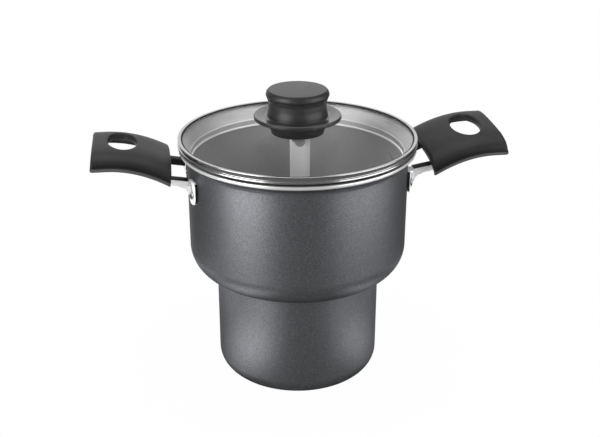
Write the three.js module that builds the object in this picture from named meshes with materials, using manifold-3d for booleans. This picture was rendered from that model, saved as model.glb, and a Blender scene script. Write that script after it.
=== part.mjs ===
// Couscous steamer: stepped pot, riveted side grips, glass lid and a lift-out steamer plate.
// Millimetres, +Z up, base on Z = 0, grips on the X axis.
import * as THREE from "three";
import { mergeVertices } from "three/addons/utils/BufferGeometryUtils.js";
import Module from "manifold-3d";

const wasm = await Module();
wasm.setup();

// Driving dimensions
const GAP = 0.3;
const WALL = 1.5;
const BOWL_R = 71.5;
const WELL_R = 54.1;
const STEP_Z = 73.0;
const RIM_Z = 158.4;
const RIM_R = 76.4;
const BOWL_CORNER = 18.2;
const BASE_CORNER = 11.9;
const BASE_THICK = 2.0;

const LID_R = 76.9;
const LID_BAND = 5.7;
const LID_SHEET = 0.8;
const GLASS_THICK = 3.2;
const GLASS_RISE = 3.2;
const SKIRT_DROP = 9.7;

const KNOB_CAP_R = 20.3;
const GUARD_R = 28.0;
const KNOB_FOOT_R = 18.0;

const ARM_OFFSET = 18.8;
const ARM_WIDTH = 7.0;
const STRAP = 1.5;
const FOOT_OFFSET = 21.0;
const FOOT_WIDTH = 11.6;
const FOOT_LOW = 128.8;
const RIVET_Z = 135.7;

const GRIP_IN = 83.3;
const GRIP_OUT = 130.7;
const GRIP_HALF = 33.0;
const GRIP_HEIGHT = 11.2;
const GRIP_ROLL = 2.7;

const ROUND = 48;
const ROUND_SMALL = 32;
const ROUND_PIN = 16;

// Materials
const COATED = new THREE.MeshStandardMaterial({ color: 0x5c5f63, roughness: 0.45, metalness: 0.5 });
const STEEL = new THREE.MeshStandardMaterial({ color: 0xc4c7ca, roughness: 0.2, metalness: 1.0 });
const ALUMINIUM = new THREE.MeshStandardMaterial({ color: 0xb9bcc0, roughness: 0.35, metalness: 1.0 });
const PLASTIC = new THREE.MeshStandardMaterial({ color: 0x232325, roughness: 0.4, metalness: 0.0 });
const RUBBER = new THREE.MeshStandardMaterial({ color: 0x1a1a1a, roughness: 0.8, metalness: 0.0 });
const GLASS = new THREE.MeshStandardMaterial({
  color: 0xdfe8e6,
  roughness: 0.05,
  metalness: 0.0,
  transparent: true,
  opacity: 0.35,
});

// Solids from three.js geometry
function signedVolume(position, index) {
  const a = new THREE.Vector3();
  const b = new THREE.Vector3();
  const c = new THREE.Vector3();
  let volume = 0;
  for (let i = 0; i < index.length; i += 3) {
    a.fromBufferAttribute(position, index[i]);
    b.fromBufferAttribute(position, index[i + 1]);
    c.fromBufferAttribute(position, index[i + 2]);
    volume += a.dot(b.cross(c)) / 6;
  }
  return volume;
}

function solid(geometry) {
  const bare = geometry.clone();
  bare.deleteAttribute("normal");
  bare.deleteAttribute("uv");
  const welded = mergeVertices(bare, 1e-4);
  const source = welded.index.array;
  let kept = [];
  for (let i = 0; i < source.length; i += 3) {
    const [a, b, c] = [source[i], source[i + 1], source[i + 2]];
    if (a !== b && b !== c && c !== a) kept.push(a, b, c);
  }
  if (signedVolume(welded.attributes.position, kept) < 0) kept = kept.reverse();
  return new wasm.Manifold(
    new wasm.Mesh({
      numProp: 3,
      vertProperties: new Float32Array(welded.attributes.position.array),
      triVerts: new Uint32Array(kept),
    }),
  );
}

function toGeometry(manifold) {
  const data = manifold.getMesh();
  const geometry = new THREE.BufferGeometry();
  geometry.setAttribute("position", new THREE.BufferAttribute(new Float32Array(data.vertProperties), 3));
  geometry.setIndex(new THREE.BufferAttribute(new Uint32Array(data.triVerts), 1));
  geometry.computeVertexNormals();
  return geometry;
}

function lathe(profile, segments) {
  const points = profile.map(([r, z]) => new THREE.Vector2(r, z));
  return solid(new THREE.LatheGeometry(points, segments).rotateX(Math.PI / 2));
}

function ring(profile, segments) {
  return lathe([...profile, profile[0]], segments);
}

function cylinder(radius, bottom, top, segments) {
  const geometry = new THREE.CylinderGeometry(radius, radius, top - bottom, segments);
  geometry.rotateX(Math.PI / 2);
  geometry.translate(0, 0, (top + bottom) / 2);
  return solid(geometry);
}

function box(low, high) {
  const size = high.map((value, i) => value - low[i]);
  const middle = high.map((value, i) => (value + low[i]) / 2);
  return solid(new THREE.BoxGeometry(...size).translate(...middle));
}

function slab(shape, depth, curveSegments) {
  return new THREE.ExtrudeGeometry(shape, { depth, bevelEnabled: false, curveSegments });
}

function polygon(points) {
  return new THREE.Shape(points.map(([x, y]) => new THREE.Vector2(x, y)));
}

// Points of an arc in the profile plane, angles in degrees
function arc(centreR, centreZ, radius, from, to, steps) {
  const points = [];
  for (let i = 0; i <= steps; i += 1) {
    const angle = THREE.MathUtils.degToRad(from + ((to - from) * i) / steps);
    points.push([centreR + radius * Math.cos(angle), centreZ + radius * Math.sin(angle)]);
  }
  return points;
}

// Turns a solid made on the Z axis so that Z points radially outward through a rivet hole
const FOOT_ANGLE = Math.asin(FOOT_OFFSET / BOWL_R);

function radial(manifold, angle) {
  const turn = new THREE.Matrix4().makeRotationZ(angle);
  const lay = new THREE.Matrix4().makeRotationY(Math.PI / 2);
  const lift = new THREE.Matrix4().makeTranslation(0, 0, RIVET_Z);
  return manifold.transform(lift.multiply(turn).multiply(lay).elements);
}

function mirrored(manifold) {
  return manifold.rotate([0, 0, 180]);
}

// Stepped pot
const rivetAngles = [FOOT_ANGLE, -FOOT_ANGLE, Math.PI - FOOT_ANGLE, Math.PI + FOOT_ANGLE];
const RIVET_SHANK = 2.0;

function makePot() {
  const bowlCentreZ = STEP_Z + BOWL_CORNER;
  const bowlCentreR = BOWL_R - BOWL_CORNER;
  const innerBowl = BOWL_R - WALL;
  const innerWell = WELL_R - WALL;
  const innerCorner = BASE_CORNER - WALL;
  const neck = 2.0;
  const flareZ = RIM_Z - 7.2;
  const lipEdge = 2.4;
  const profile = [
    [0, 0],
    ...arc(WELL_R - BASE_CORNER, BASE_CORNER, BASE_CORNER, -90, 0, 5),
    [WELL_R, STEP_Z - neck],
    [WELL_R + neck * 0.3, STEP_Z - neck * 0.3],
    [WELL_R + neck, STEP_Z + 0.3],
    ...arc(bowlCentreR, bowlCentreZ, BOWL_CORNER, -68, 0, 6),
    [BOWL_R, flareZ],
    [BOWL_R + 1.0, flareZ + 2.6],
    [RIM_R - 0.6, RIM_Z - lipEdge],
    [RIM_R, RIM_Z - lipEdge + 0.5],
    [RIM_R, RIM_Z - 0.4],
    [RIM_R - 0.4, RIM_Z],
    [RIM_R - 1.4, RIM_Z],
    [innerBowl + 1.0, flareZ + 3.2],
    [innerBowl, flareZ + 0.6],
    ...arc(bowlCentreR, bowlCentreZ, BOWL_CORNER - WALL, 0, -80, 7),
    [innerWell, STEP_Z + WALL],
    ...arc(innerWell - innerCorner, BASE_THICK + innerCorner, innerCorner, 0, -90, 4),
    [0, BASE_THICK],
  ];
  let pot = lathe(profile, ROUND);
  for (const angle of rivetAngles) {
    const bore = cylinder(RIVET_SHANK + GAP, BOWL_R - 10, BOWL_R + 10, ROUND_PIN);
    pot = pot.subtract(radial(bore, angle));
  }
  return pot;
}

// Grip bracket: channel arms with riveted feet on the wall, rising inside the grip to a screwed plate
const ARM_Z = 144.8;
const ARM_SLOPE = 0.17;
const ARM_KNEE = 84.0;
const ARM_HEIGHT = 3.8;
const ARM_OUT = 103.0;
const PLATE_IN = 89.0;
const PLATE_SLOPE = 0.45;
const SCREW_X = 95.0;
const SCREW_SHANK = 1.8;
const SCREW_HEAD = 3.6;
const SCREW_TIP = 4.0;

function armTop(x) {
  const inside = Math.max(0, x - ARM_KNEE);
  return ARM_Z + ARM_SLOPE * (x - BOWL_R - inside) + PLATE_SLOPE * inside;
}

// Bar along X that follows the line of the arms, drop and thickness measured from their top
function slopedBar(fromX, toX, drop, thickness, halfWidth, centreY) {
  const stations = [fromX, ARM_KNEE, toX].filter((x) => x >= fromX && x <= toX);
  const low = stations.map((x) => [x, armTop(x) - drop - thickness]);
  const high = stations.map((x) => [x, armTop(x) - drop]).reverse();
  const side = polygon([...low, ...high]);
  return solid(slab(side, 2 * halfWidth, 1).rotateX(Math.PI / 2).translate(0, centreY + halfWidth, 0));
}

// Takes a piece built upright on the origin to the middle of the bracket's sloping plate
function onPlate(manifold) {
  const tilt = (Math.atan(PLATE_SLOPE) * 180) / Math.PI;
  return manifold.rotate([0, -tilt, 0]).translate([SCREW_X, 0, armTop(SCREW_X)]);
}

function makeBracket() {
  const footHalf = FOOT_WIDTH / 2;
  const corner = 3.0;
  const inner = BOWL_R + GAP;
  const shell = cylinder(inner + STRAP, FOOT_LOW - 5, ARM_Z + 5, ROUND * 2);
  const wallClear = cylinder(inner, 0, RIM_Z, ROUND * 2);
  const tab = new THREE.Shape();
  tab.moveTo(-footHalf, ARM_Z - corner);
  tab.lineTo(-footHalf, FOOT_LOW + footHalf);
  tab.absarc(0, FOOT_LOW + footHalf, footHalf, Math.PI, 2 * Math.PI, false);
  tab.lineTo(footHalf, ARM_Z - corner);
  tab.lineTo(footHalf - corner, ARM_Z);
  tab.lineTo(-footHalf + corner, ARM_Z);
  let bracket = slopedBar(PLATE_IN, ARM_OUT, 0, STRAP, ARM_OFFSET, 0);
  for (const side of [-1, 1]) {
    const foot = slab(tab, 30, 6)
      .rotateX(Math.PI / 2)
      .rotateZ(Math.PI / 2)
      .translate(BOWL_R - 20, side * FOOT_OFFSET, 0);
    const bar = slopedBar(BOWL_R - 8, ARM_OUT, 0, ARM_HEIGHT, ARM_WIDTH / 2, side * ARM_OFFSET);
    const channel = slopedBar(BOWL_R + 4, ARM_OUT + 5, STRAP, 20, ARM_WIDTH / 2 - STRAP, side * ARM_OFFSET);
    bracket = bracket.add(solid(foot).intersect(shell).add(bar).subtract(channel).subtract(wallClear));
  }
  bracket = bracket.subtract(onPlate(cylinder(SCREW_SHANK + GAP, -5, 5, ROUND_PIN)));
  for (const angle of [FOOT_ANGLE, -FOOT_ANGLE]) {
    const bore = cylinder(RIVET_SHANK + GAP, BOWL_R - 5, BOWL_R + 4, ROUND_PIN);
    bracket = bracket.subtract(radial(bore, angle));
  }
  return bracket;
}

// Rivet: domed head outside the foot, shank through foot and wall, flat head inside
function makeRivet() {
  const headR = 3.2;
  const headOut = BOWL_R + STRAP + 2 * GAP;
  const headIn = BOWL_R - WALL - GAP;
  return lathe(
    [
      [0, headIn - 1.2],
      [headR - 0.5, headIn - 1.2],
      [headR, headIn - 0.6],
      [headR, headIn],
      [RIVET_SHANK, headIn],
      [RIVET_SHANK, headOut],
      [headR, headOut],
      [headR - 0.4, headOut + 0.6],
      [headR - 1.4, headOut + 1.0],
      [0, headOut + 1.2],
    ],
    ROUND_PIN,
  );
}

// Grip: arched shell swept along a rise, with leaning ends and an oval hole through its crown
const GRIP_EDGE_Z = 156.1;
const GRIP_RISE = 11.9;
const GRIP_LEVEL = 122.0;
const SWEEP_IN = GRIP_IN - 10;
const SWEEP_OUT = GRIP_OUT + 5;

function gripEdge(x) {
  const share = Math.max(0, GRIP_LEVEL - x) / (GRIP_LEVEL - GRIP_IN);
  return GRIP_EDGE_Z - GRIP_RISE * share ** 2;
}

const sweepStations = 10;
const gripRise = new THREE.CatmullRomCurve3(
  Array.from({ length: sweepStations }, (_, i) => {
    const x = SWEEP_IN + ((SWEEP_OUT - SWEEP_IN) * i) / (sweepStations - 1);
    return new THREE.Vector3(x, 0, gripEdge(x));
  }),
);

// Half of the grip's outer section from its lower edge to its crown: across, up
const gripSkin = [
  [GRIP_HALF, 0],
  [GRIP_HALF, GRIP_HEIGHT * 0.2],
  [GRIP_HALF - 0.7, GRIP_HEIGHT * 0.36],
  [GRIP_HALF - 1.9, GRIP_HEIGHT * 0.52],
  [GRIP_HALF - 3.8, GRIP_HEIGHT * 0.66],
  [GRIP_HALF - 6.4, GRIP_HEIGHT * 0.77],
  [GRIP_HALF - 10.4, GRIP_HEIGHT * 0.87],
  [GRIP_HALF * 0.45, GRIP_HEIGHT * 0.94],
  [GRIP_HALF * 0.22, GRIP_HEIGHT * 0.985],
];

// The same for the hollow under the crown
const gripHollow = [
  [GRIP_HALF - 3.2, -GRIP_HEIGHT],
  [GRIP_HALF - 3.2, GRIP_HEIGHT * 0.1],
  [GRIP_HALF - 5.0, GRIP_HEIGHT * 0.28],
  [GRIP_HALF - 8.4, GRIP_HEIGHT * 0.42],
  [GRIP_HALF * 0.5, GRIP_HEIGHT * 0.54],
  [GRIP_HALF * 0.25, GRIP_HEIGHT * 0.6],
];
const GRIP_END_WALL = 4.0;
const INNER_LEAN = 9;
const OUTER_LEAN = 8;
const EYE_X = 111.5;
const EYE_RADIAL = 10.2;
const EYE_ACROSS = 17.4;

function sweep(half) {
  const left = half.map(([across, up]) => [-across, -up]);
  const right = half.map(([across, up]) => [across, -up]).reverse();
  const options = { steps: 12, extrudePath: gripRise, bevelEnabled: false };
  return solid(new THREE.ExtrudeGeometry(polygon([...left, ...right]), options));
}

// Half space outside or inside a plane that stands on the grip's lower edge and leans towards the pot
function beyond(x, lean) {
  return box([0, -100, -100], [200, 100, 200]).rotate([0, -lean, 0]).translate([x, 0, gripEdge(x)]);
}

function eyePlug() {
  const oval = new THREE.Shape();
  oval.absellipse(0, 0, EYE_RADIAL, EYE_ACROSS, 0, 2 * Math.PI, false, 0);
  return solid(slab(oval, 60, 12)).translate([EYE_X, 0, 130]);
}

// The grips sit slightly rolled on their brackets
function rolled(manifold) {
  return manifold.translate([0, 0, -GRIP_EDGE_Z]).rotate([GRIP_ROLL, 0, 0]).translate([0, 0, GRIP_EDGE_Z]);
}

function makeGrip() {
  const skin = sweep(gripSkin).intersect(beyond(GRIP_IN, INNER_LEAN)).subtract(beyond(GRIP_OUT, OUTER_LEAN));
  const hollow = sweep(gripHollow).subtract(beyond(GRIP_OUT - GRIP_END_WALL, OUTER_LEAN));
  const shell = skin.subtract(hollow).subtract(eyePlug());
  const boss = cylinder(SCREW_HEAD + 1.4, GAP, 6.5, ROUND_PIN);
  const armClear = slopedBar(SWEEP_IN, ARM_OUT + 1, -2 * GAP, 40, ARM_OFFSET + ARM_WIDTH / 2 + 0.8, 0);
  const screwBore = cylinder(SCREW_SHANK + GAP, 0, SCREW_TIP + 2 * GAP, ROUND_PIN);
  return rolled(shell).subtract(armClear).add(onPlate(boss)).subtract(onPlate(screwBore));
}

// Screw from below through the bracket plate into the grip's boss
function makeGripScrew() {
  const under = -STRAP - GAP;
  const screw = lathe(
    [
      [0, under - 2.2],
      [SCREW_HEAD - 0.8, under - 2.2],
      [SCREW_HEAD, under - 1.2],
      [SCREW_HEAD, under],
      [SCREW_SHANK, under],
      [SCREW_SHANK, SCREW_TIP - 0.4],
      [0, SCREW_TIP],
    ],
    ROUND_PIN,
  );
  return onPlate(screw);
}

// Lid rim: folded ring that grips the glass edge, rests on the pot rim and drops a skirt inside it
const FLANGE_Z = RIM_Z + GAP;
const BAND_TOP = FLANGE_Z + LID_BAND;
const LIP_R = LID_R - 2.3;
const SKIRT_R = BOWL_R - WALL - 0.5;
const SKIRT_BEND_Z = RIM_Z - 6.0;
const SKIRT_Z = RIM_Z - SKIRT_DROP;
const GLASS_EDGE_R = LID_R - LID_SHEET - GAP;
const GLASS_EDGE_Z = FLANGE_Z + LID_SHEET + GAP;

function makeLidRim() {
  return ring(
    [
      [SKIRT_R, SKIRT_Z],
      [SKIRT_R, SKIRT_BEND_Z],
      [RIM_R - 2.6, FLANGE_Z - 0.1],
      [RIM_R - 1.6, FLANGE_Z],
      [LID_R - 0.5, FLANGE_Z],
      [LID_R, FLANGE_Z + 0.5],
      [LID_R, BAND_TOP - 0.8],
      [LID_R - 0.3, BAND_TOP - 0.2],
      [LID_R - 0.9, BAND_TOP],
      [LIP_R, BAND_TOP],
      [LIP_R, BAND_TOP - LID_SHEET],
      [LID_R - LID_SHEET, BAND_TOP - LID_SHEET],
      [LID_R - LID_SHEET, FLANGE_Z + LID_SHEET],
      [RIM_R - 2.0, FLANGE_Z + LID_SHEET],
      [RIM_R - 3.0, FLANGE_Z + LID_SHEET - 0.3],
      [SKIRT_R - LID_SHEET, SKIRT_BEND_Z + 0.3],
      [SKIRT_R - LID_SHEET, SKIRT_Z],
    ],
    ROUND,
  );
}

// Lid glass: shallow dome with a bore for the knob screw
const KNOB_BORE = 3.0;

function glassUnder(r) {
  const share = Math.max(0, 1 - (r / GLASS_EDGE_R) ** 2);
  return GLASS_EDGE_Z + GLASS_RISE * share;
}

function makeLidGlass() {
  const stations = [LIP_R - 1, 60, 46, 32, 18, KNOB_BORE];
  const top = stations.map((r) => [r, glassUnder(r) + GLASS_THICK]);
  const under = [...stations].reverse().map((r) => [r, glassUnder(r)]);
  return ring(
    [...under, [GLASS_EDGE_R, GLASS_EDGE_Z], [GLASS_EDGE_R, GLASS_EDGE_Z + GLASS_THICK - 0.1], ...top],
    ROUND,
  );
}

// Knob, built up from the glass on one screw
const GLASS_TOP_Z = glassUnder(KNOB_FOOT_R) + GLASS_THICK;
const GLASS_APEX_Z = glassUnder(KNOB_BORE) + GLASS_THICK;
const GASKET = 0.8;
const KNOB_Z = GLASS_APEX_Z + GASKET + 2 * GAP;
const GUARD_Z = 175.7;
const GUARD_THICK = 2.3;
const PARTING_Z = 189.4;
const KNOB_TOP_Z = 195.0;
const KNOB_SCREW = 2.0;

function makeKnobGasket() {
  const low = GLASS_APEX_Z + GAP;
  return ring(
    [
      [KNOB_BORE + 0.6, low],
      [KNOB_FOOT_R - 1.0, low],
      [KNOB_FOOT_R - 1.0, low + GASKET],
      [KNOB_BORE + 0.6, low + GASKET],
    ],
    ROUND_SMALL,
  );
}

function makeKnobBase() {
  const guardTop = GUARD_Z + GUARD_THICK;
  const bore = KNOB_SCREW + GAP;
  return ring(
    [
      [bore, KNOB_Z],
      [KNOB_FOOT_R - 0.6, KNOB_Z],
      [KNOB_FOOT_R, KNOB_Z + 0.6],
      [KNOB_FOOT_R, GUARD_Z - 3.0],
      [KNOB_FOOT_R + 1.4, GUARD_Z - 1.0],
      [GUARD_R - 3.0, GUARD_Z],
      [GUARD_R - 0.5, GUARD_Z + 0.3],
      [GUARD_R, GUARD_Z + 1.1],
      [GUARD_R - 0.3, guardTop - 0.2],
      [GUARD_R - 1.0, guardTop],
      [KNOB_CAP_R + 1.0, guardTop - 0.9],
      [19.4, guardTop - 0.6],
      [19.2, guardTop + 1.2],
      [18.5, guardTop + 3.6],
      [18.3, guardTop + 6.2],
      [18.7, PARTING_Z - 2.6],
      [KNOB_CAP_R - 0.7, PARTING_Z],
      [bore, PARTING_Z],
    ],
    ROUND_SMALL,
  );
}

function makeKnobCap() {
  const low = PARTING_Z + GAP;
  const screwTop = PARTING_Z + 2.6;
  return lathe(
    [
      [0, screwTop],
      [KNOB_SCREW + GAP, screwTop],
      [KNOB_SCREW + GAP, low],
      [KNOB_CAP_R - 0.6, low],
      [KNOB_CAP_R, low + 1.5],
      [KNOB_CAP_R - 0.2, low + 2.8],
      [KNOB_CAP_R - 0.9, low + 4.0],
      [KNOB_CAP_R - 2.2, KNOB_TOP_Z - 0.5],
      [12, KNOB_TOP_Z - 0.15],
      [0, KNOB_TOP_Z],
    ],
    ROUND_SMALL,
  );
}

const WASHER_R = 6.5;
const WASHER_THICK = 1.0;
const WASHER_TOP = glassUnder(WASHER_R) - GAP;

function makeKnobWasher() {
  const low = WASHER_TOP - WASHER_THICK;
  return ring(
    [
      [KNOB_SCREW + GAP, low],
      [WASHER_R, low],
      [WASHER_R, WASHER_TOP],
      [KNOB_SCREW + GAP, WASHER_TOP],
    ],
    ROUND_PIN,
  );
}

function makeKnobScrew() {
  const under = WASHER_TOP - WASHER_THICK - GAP;
  const headR = 4.0;
  return lathe(
    [
      [0, under - 2.0],
      [headR - 0.9, under - 2.0],
      [headR, under - 1.1],
      [headR, under],
      [KNOB_SCREW, under],
      [KNOB_SCREW, PARTING_Z + 1.9],
      [0, PARTING_Z + 2.2],
    ],
    ROUND_PIN,
  );
}

// Steamer plate resting on the curve of the step, perforated in rings
const PLATE_R = 58.0;
const PLATE_THICK = 1.2;
const PLATE_RUN = PLATE_R - BOWL_R + BOWL_CORNER;
const PLATE_Z = STEP_Z + BOWL_CORNER + GAP - Math.sqrt((BOWL_CORNER - WALL) ** 2 - PLATE_RUN ** 2);
const PLATE_RINGS = [
  { radius: 22, holes: 8 },
  { radius: 33, holes: 13 },
  { radius: 44, holes: 19 },
];
const PLATE_HOLE = 2.0;
const STRIP_PIN = 2.0;

function makePlate() {
  const curl = 2.6;
  const top = PLATE_Z + PLATE_THICK;
  const dish = lathe(
    [
      [0, PLATE_Z],
      [PLATE_R - 1.6, PLATE_Z],
      [PLATE_R, PLATE_Z + 0.6],
      [PLATE_R + 0.5, PLATE_Z + curl],
      [PLATE_R - 0.7, PLATE_Z + curl],
      [PLATE_R - 1.4, top + 0.2],
      [PLATE_R - 2.4, top],
      [0, top],
    ],
    ROUND,
  );
  let plate = dish.subtract(cylinder(STRIP_PIN + GAP, PLATE_Z - 5, top + 5, ROUND_PIN));
  for (const { radius, holes } of PLATE_RINGS) {
    for (let i = 0; i < holes; i += 1) {
      const angle = (2 * Math.PI * (i + 0.5)) / holes;
      const punch = cylinder(PLATE_HOLE, PLATE_Z - 5, top + 5, 8);
      plate = plate.subtract(punch.translate([radius * Math.cos(angle), radius * Math.sin(angle), 0]));
    }
  }
  return plate;
}

// Lift strip: upright with a finger slot, bent into a foot that is riveted at the plate's centre
const STRIP_WIDTH = 13.3;
const STRIP_THICK = 1.2;
const STRIP_Z = PLATE_Z + PLATE_THICK + GAP;
const STRIP_TOP = 160.4;
const STRIP_BACK = 8.0;
const STRIP_TURN = -19.0;
const SLOT_LOW = 150.4;
const SLOT_HIGH = 157.6;
const SLOT_HALF = 3.1;

function makeStrip() {
  const half = STRIP_WIDTH / 2;
  const face = polygon([
    [-half, STRIP_Z],
    [half, STRIP_Z],
    [half, STRIP_TOP - 2],
    [half - 2, STRIP_TOP],
    [-half + 2, STRIP_TOP],
    [-half, STRIP_TOP - 2],
  ]);
  const slot = new THREE.Path();
  slot.moveTo(-SLOT_HALF, SLOT_HIGH);
  slot.lineTo(-SLOT_HALF, SLOT_LOW + SLOT_HALF);
  slot.absarc(0, SLOT_LOW + SLOT_HALF, SLOT_HALF, Math.PI, 2 * Math.PI, false);
  slot.lineTo(SLOT_HALF, SLOT_HIGH);
  face.holes.push(slot);
  const upright = slab(face, STRIP_THICK, 5).rotateX(Math.PI / 2);
  upright.translate(0, STRIP_BACK + STRIP_THICK, 0);
  const foot = new THREE.BoxGeometry(STRIP_WIDTH, STRIP_BACK + half + STRIP_THICK, STRIP_THICK);
  foot.translate(0, (STRIP_BACK + STRIP_THICK - half) / 2, STRIP_Z + STRIP_THICK / 2);
  const bore = cylinder(STRIP_PIN + GAP, STRIP_Z - 5, STRIP_Z + 5, ROUND_PIN);
  return solid(upright).add(solid(foot)).subtract(bore).rotate([0, 0, STRIP_TURN]);
}

function makeStripRivet() {
  const headR = 3.4;
  const low = PLATE_Z - GAP;
  const high = STRIP_Z + STRIP_THICK + GAP;
  return lathe(
    [
      [0, low - 1.2],
      [headR - 0.6, low - 1.2],
      [headR, low - 0.6],
      [headR, low],
      [STRIP_PIN, low],
      [STRIP_PIN, high],
      [headR, high],
      [headR - 0.6, high + 1.0],
      [0, high + 1.4],
    ],
    ROUND_PIN,
  );
}

// Assembly
const steamer = new THREE.Group();
steamer.name = "couscous_steamer";

function place(name, manifold, material) {
  const mesh = new THREE.Mesh(toGeometry(manifold), material);
  mesh.name = name;
  steamer.add(mesh);
}

place("pot_body", makePot(), COATED);

const bracket = makeBracket();
const grip = makeGrip();
const gripScrew = makeGripScrew();
place("right_bracket", bracket, STEEL);
place("left_bracket", mirrored(bracket), STEEL);
place("right_grip", grip, PLASTIC);
place("left_grip", mirrored(grip), PLASTIC);
place("right_grip_screw", gripScrew, STEEL);
place("left_grip_screw", mirrored(gripScrew), STEEL);

const rivet = makeRivet();
const rivetNames = ["right_rivet_far", "right_rivet_near", "left_rivet_far", "left_rivet_near"];
rivetNames.forEach((name, i) => place(name, radial(rivet, rivetAngles[i]), STEEL));

place("lid_rim", makeLidRim(), STEEL);
place("lid_glass", makeLidGlass(), GLASS);
place("knob_gasket", makeKnobGasket(), RUBBER);
place("knob_base", makeKnobBase(), PLASTIC);
place("knob_cap", makeKnobCap(), PLASTIC);
place("knob_washer", makeKnobWasher(), STEEL);
place("knob_screw", makeKnobScrew(), STEEL);

place("steamer_plate", makePlate(), ALUMINIUM);
place("lift_strip", makeStrip(), STEEL);
place("strip_rivet", makeStripRivet(), ALUMINIUM);

export default steamer;
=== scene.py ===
import math

import bmesh
import bpy
from bpy.props import FloatProperty, FloatVectorProperty, IntProperty, PointerProperty
from mathutils import Matrix, Vector


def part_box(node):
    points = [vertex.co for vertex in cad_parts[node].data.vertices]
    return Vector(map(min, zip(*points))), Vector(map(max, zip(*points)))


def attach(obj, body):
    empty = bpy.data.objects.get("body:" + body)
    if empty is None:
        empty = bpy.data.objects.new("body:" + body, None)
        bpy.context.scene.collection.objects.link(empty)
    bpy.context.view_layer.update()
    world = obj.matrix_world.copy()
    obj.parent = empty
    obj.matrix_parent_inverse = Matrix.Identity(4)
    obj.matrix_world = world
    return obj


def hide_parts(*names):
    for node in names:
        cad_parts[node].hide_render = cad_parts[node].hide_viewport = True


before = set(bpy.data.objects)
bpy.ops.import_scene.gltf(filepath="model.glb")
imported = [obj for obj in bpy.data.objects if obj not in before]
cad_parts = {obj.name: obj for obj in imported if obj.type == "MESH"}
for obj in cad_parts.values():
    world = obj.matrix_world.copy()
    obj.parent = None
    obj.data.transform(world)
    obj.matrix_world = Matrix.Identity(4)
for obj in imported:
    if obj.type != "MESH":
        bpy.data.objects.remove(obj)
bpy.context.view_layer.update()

MM = 0.001
# Gap between pieces that touch in the real object, and the distance at which points are merged
GAP = 0.3 * MM
WELD = 0.001 * MM
# Segments of a full turn: pot and lid ring, glass and plate, knob, floor, small pieces and steam holes
LARGE_ROUND = 256
DISC_ROUND = 192
KNOB_ROUND = 128
FLOOR_ROUND = 96
SMALL_ROUND = 32
HOLE_ROUND = 24
# Largest share of a side that the rounding of one corner takes up
CORNER_REACH = 0.49

POT_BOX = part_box("pot_body")
LID_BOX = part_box("lid_rim")
KNOB_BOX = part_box("knob_cap")
GRIP_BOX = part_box("right_grip")
PLATE_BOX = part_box("steamer_plate")
STRIP_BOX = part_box("lift_strip")
# How far the rounding of a grip's outer end draws it in
END_DRAW = 0.17 * MM

bl_info = {
    "name": "Couscous steamer",
    "version": (1, 0, 0),
    "blender": (4, 5, 0),
    "location": "View3D > Sidebar > Steamer",
    "description": "Builds the finished pieces of a couscous steamer round its CAD frame",
    "category": "Object",
}


# Kinds of settings

def length(name, description, default):
    return FloatProperty(name=name, description=description, default=default, unit="LENGTH", precision=5)


def angle(name, description, degrees):
    return FloatProperty(name=name, description=description, default=math.radians(degrees), subtype="ANGLE")


def colour(name, description, default):
    return FloatVectorProperty(
        name=name, description=description, default=default, size=3, min=0.0, max=1.0, subtype="COLOR"
    )


def share(name, description, default):
    return FloatProperty(
        name=name, description=description, default=default, min=0.0, max=1.0, subtype="FACTOR"
    )


def number(name, description, default):
    return FloatProperty(name=name, description=description, default=default)


def count(name, description, default):
    return IntProperty(name=name, description=description, default=default)


# Groups of settings

class PotSizes(bpy.types.PropertyGroup):
    bowl_radius: length("Bowl radius", "Outer radius of the steaming bowl", 71.5 * MM)
    well_radius: length("Well radius", "Outer radius of the water well", 54.1 * MM)
    step_height: length("Step height", "Height of the bowl's underside at the step", 73.0 * MM)
    rim_height: length("Rim height", "Height of the pot's rim", POT_BOX[1].z)
    rim_radius: length("Rim radius", "Outer radius of the flared rim", 76.4 * MM)
    bowl_corner: length("Bowl corner", "Outer radius of the bowl's lower corner", 18.2 * MM)
    base_corner: length("Base corner", "Outer radius of the base's corner", 11.9 * MM)
    wall: length("Wall", "Thickness of the pressed sheet", 1.5 * MM)
    base: length("Base", "Thickness of the base", 2.0 * MM)
    bare_rim: length("Bare rim", "Height of the rim that the coating leaves bare", 3.6 * MM)


class LidSizes(bpy.types.PropertyGroup):
    radius: length("Radius", "Outer radius of the lid's steel ring", LID_BOX[1].x)
    band: length("Band", "Height of the ring's outer band", 5.7 * MM)
    sheet: length("Sheet", "Thickness of the ring's sheet", 0.8 * MM)
    gap: length("Gap", "Gap between touching pieces", GAP)
    skirt_drop: length("Skirt drop", "How far the skirt hangs below the pot's rim", 9.7 * MM)
    bend_drop: length("Bend drop", "How far the flange's bend lies below the pot's rim", 5.2 * MM)
    hem: length("Hem", "Height of the hem at the skirt's lower edge", 1.1 * MM)
    lip: length("Lip", "Width of the ring's flat lip over the glass", 2.3 * MM)
    # The fold under the lip is there to carry painted shade between the lip and the glass
    shadow_tongue: length("Tongue", "How far the fold under the lip reaches in over the glass", 1.0 * MM)
    glass: length("Glass", "Thickness of the glass", 3.2 * MM)
    glass_rise: length("Glass rise", "Rise of the glass from edge to middle", 3.2 * MM)
    bore: length("Bore", "Radius of the bore for the knob's screw", 3.0 * MM)


class KnobSizes(bpy.types.PropertyGroup):
    cap_radius: length("Cap radius", "Widest radius of the cap", KNOB_BOX[1].x)
    top: length("Top", "Height of the cap's crown", KNOB_BOX[1].z)
    parting: length("Parting", "Height of the joint between cap and lower piece", 189.4 * MM)
    guard_radius: length("Guard radius", "Radius of the finger guard", 28.0 * MM)
    guard_height: length("Guard height", "Height of the guard's underside", 175.7 * MM)
    guard: length("Guard", "Thickness of the guard", 2.3 * MM)
    foot_radius: length("Foot radius", "Radius of the foot on the glass", 18.0 * MM)
    screw: length("Screw", "Radius of the knob's screw", 2.0 * MM)
    screw_head: length("Screw head", "Radius of that screw's head", 4.0 * MM)


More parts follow.
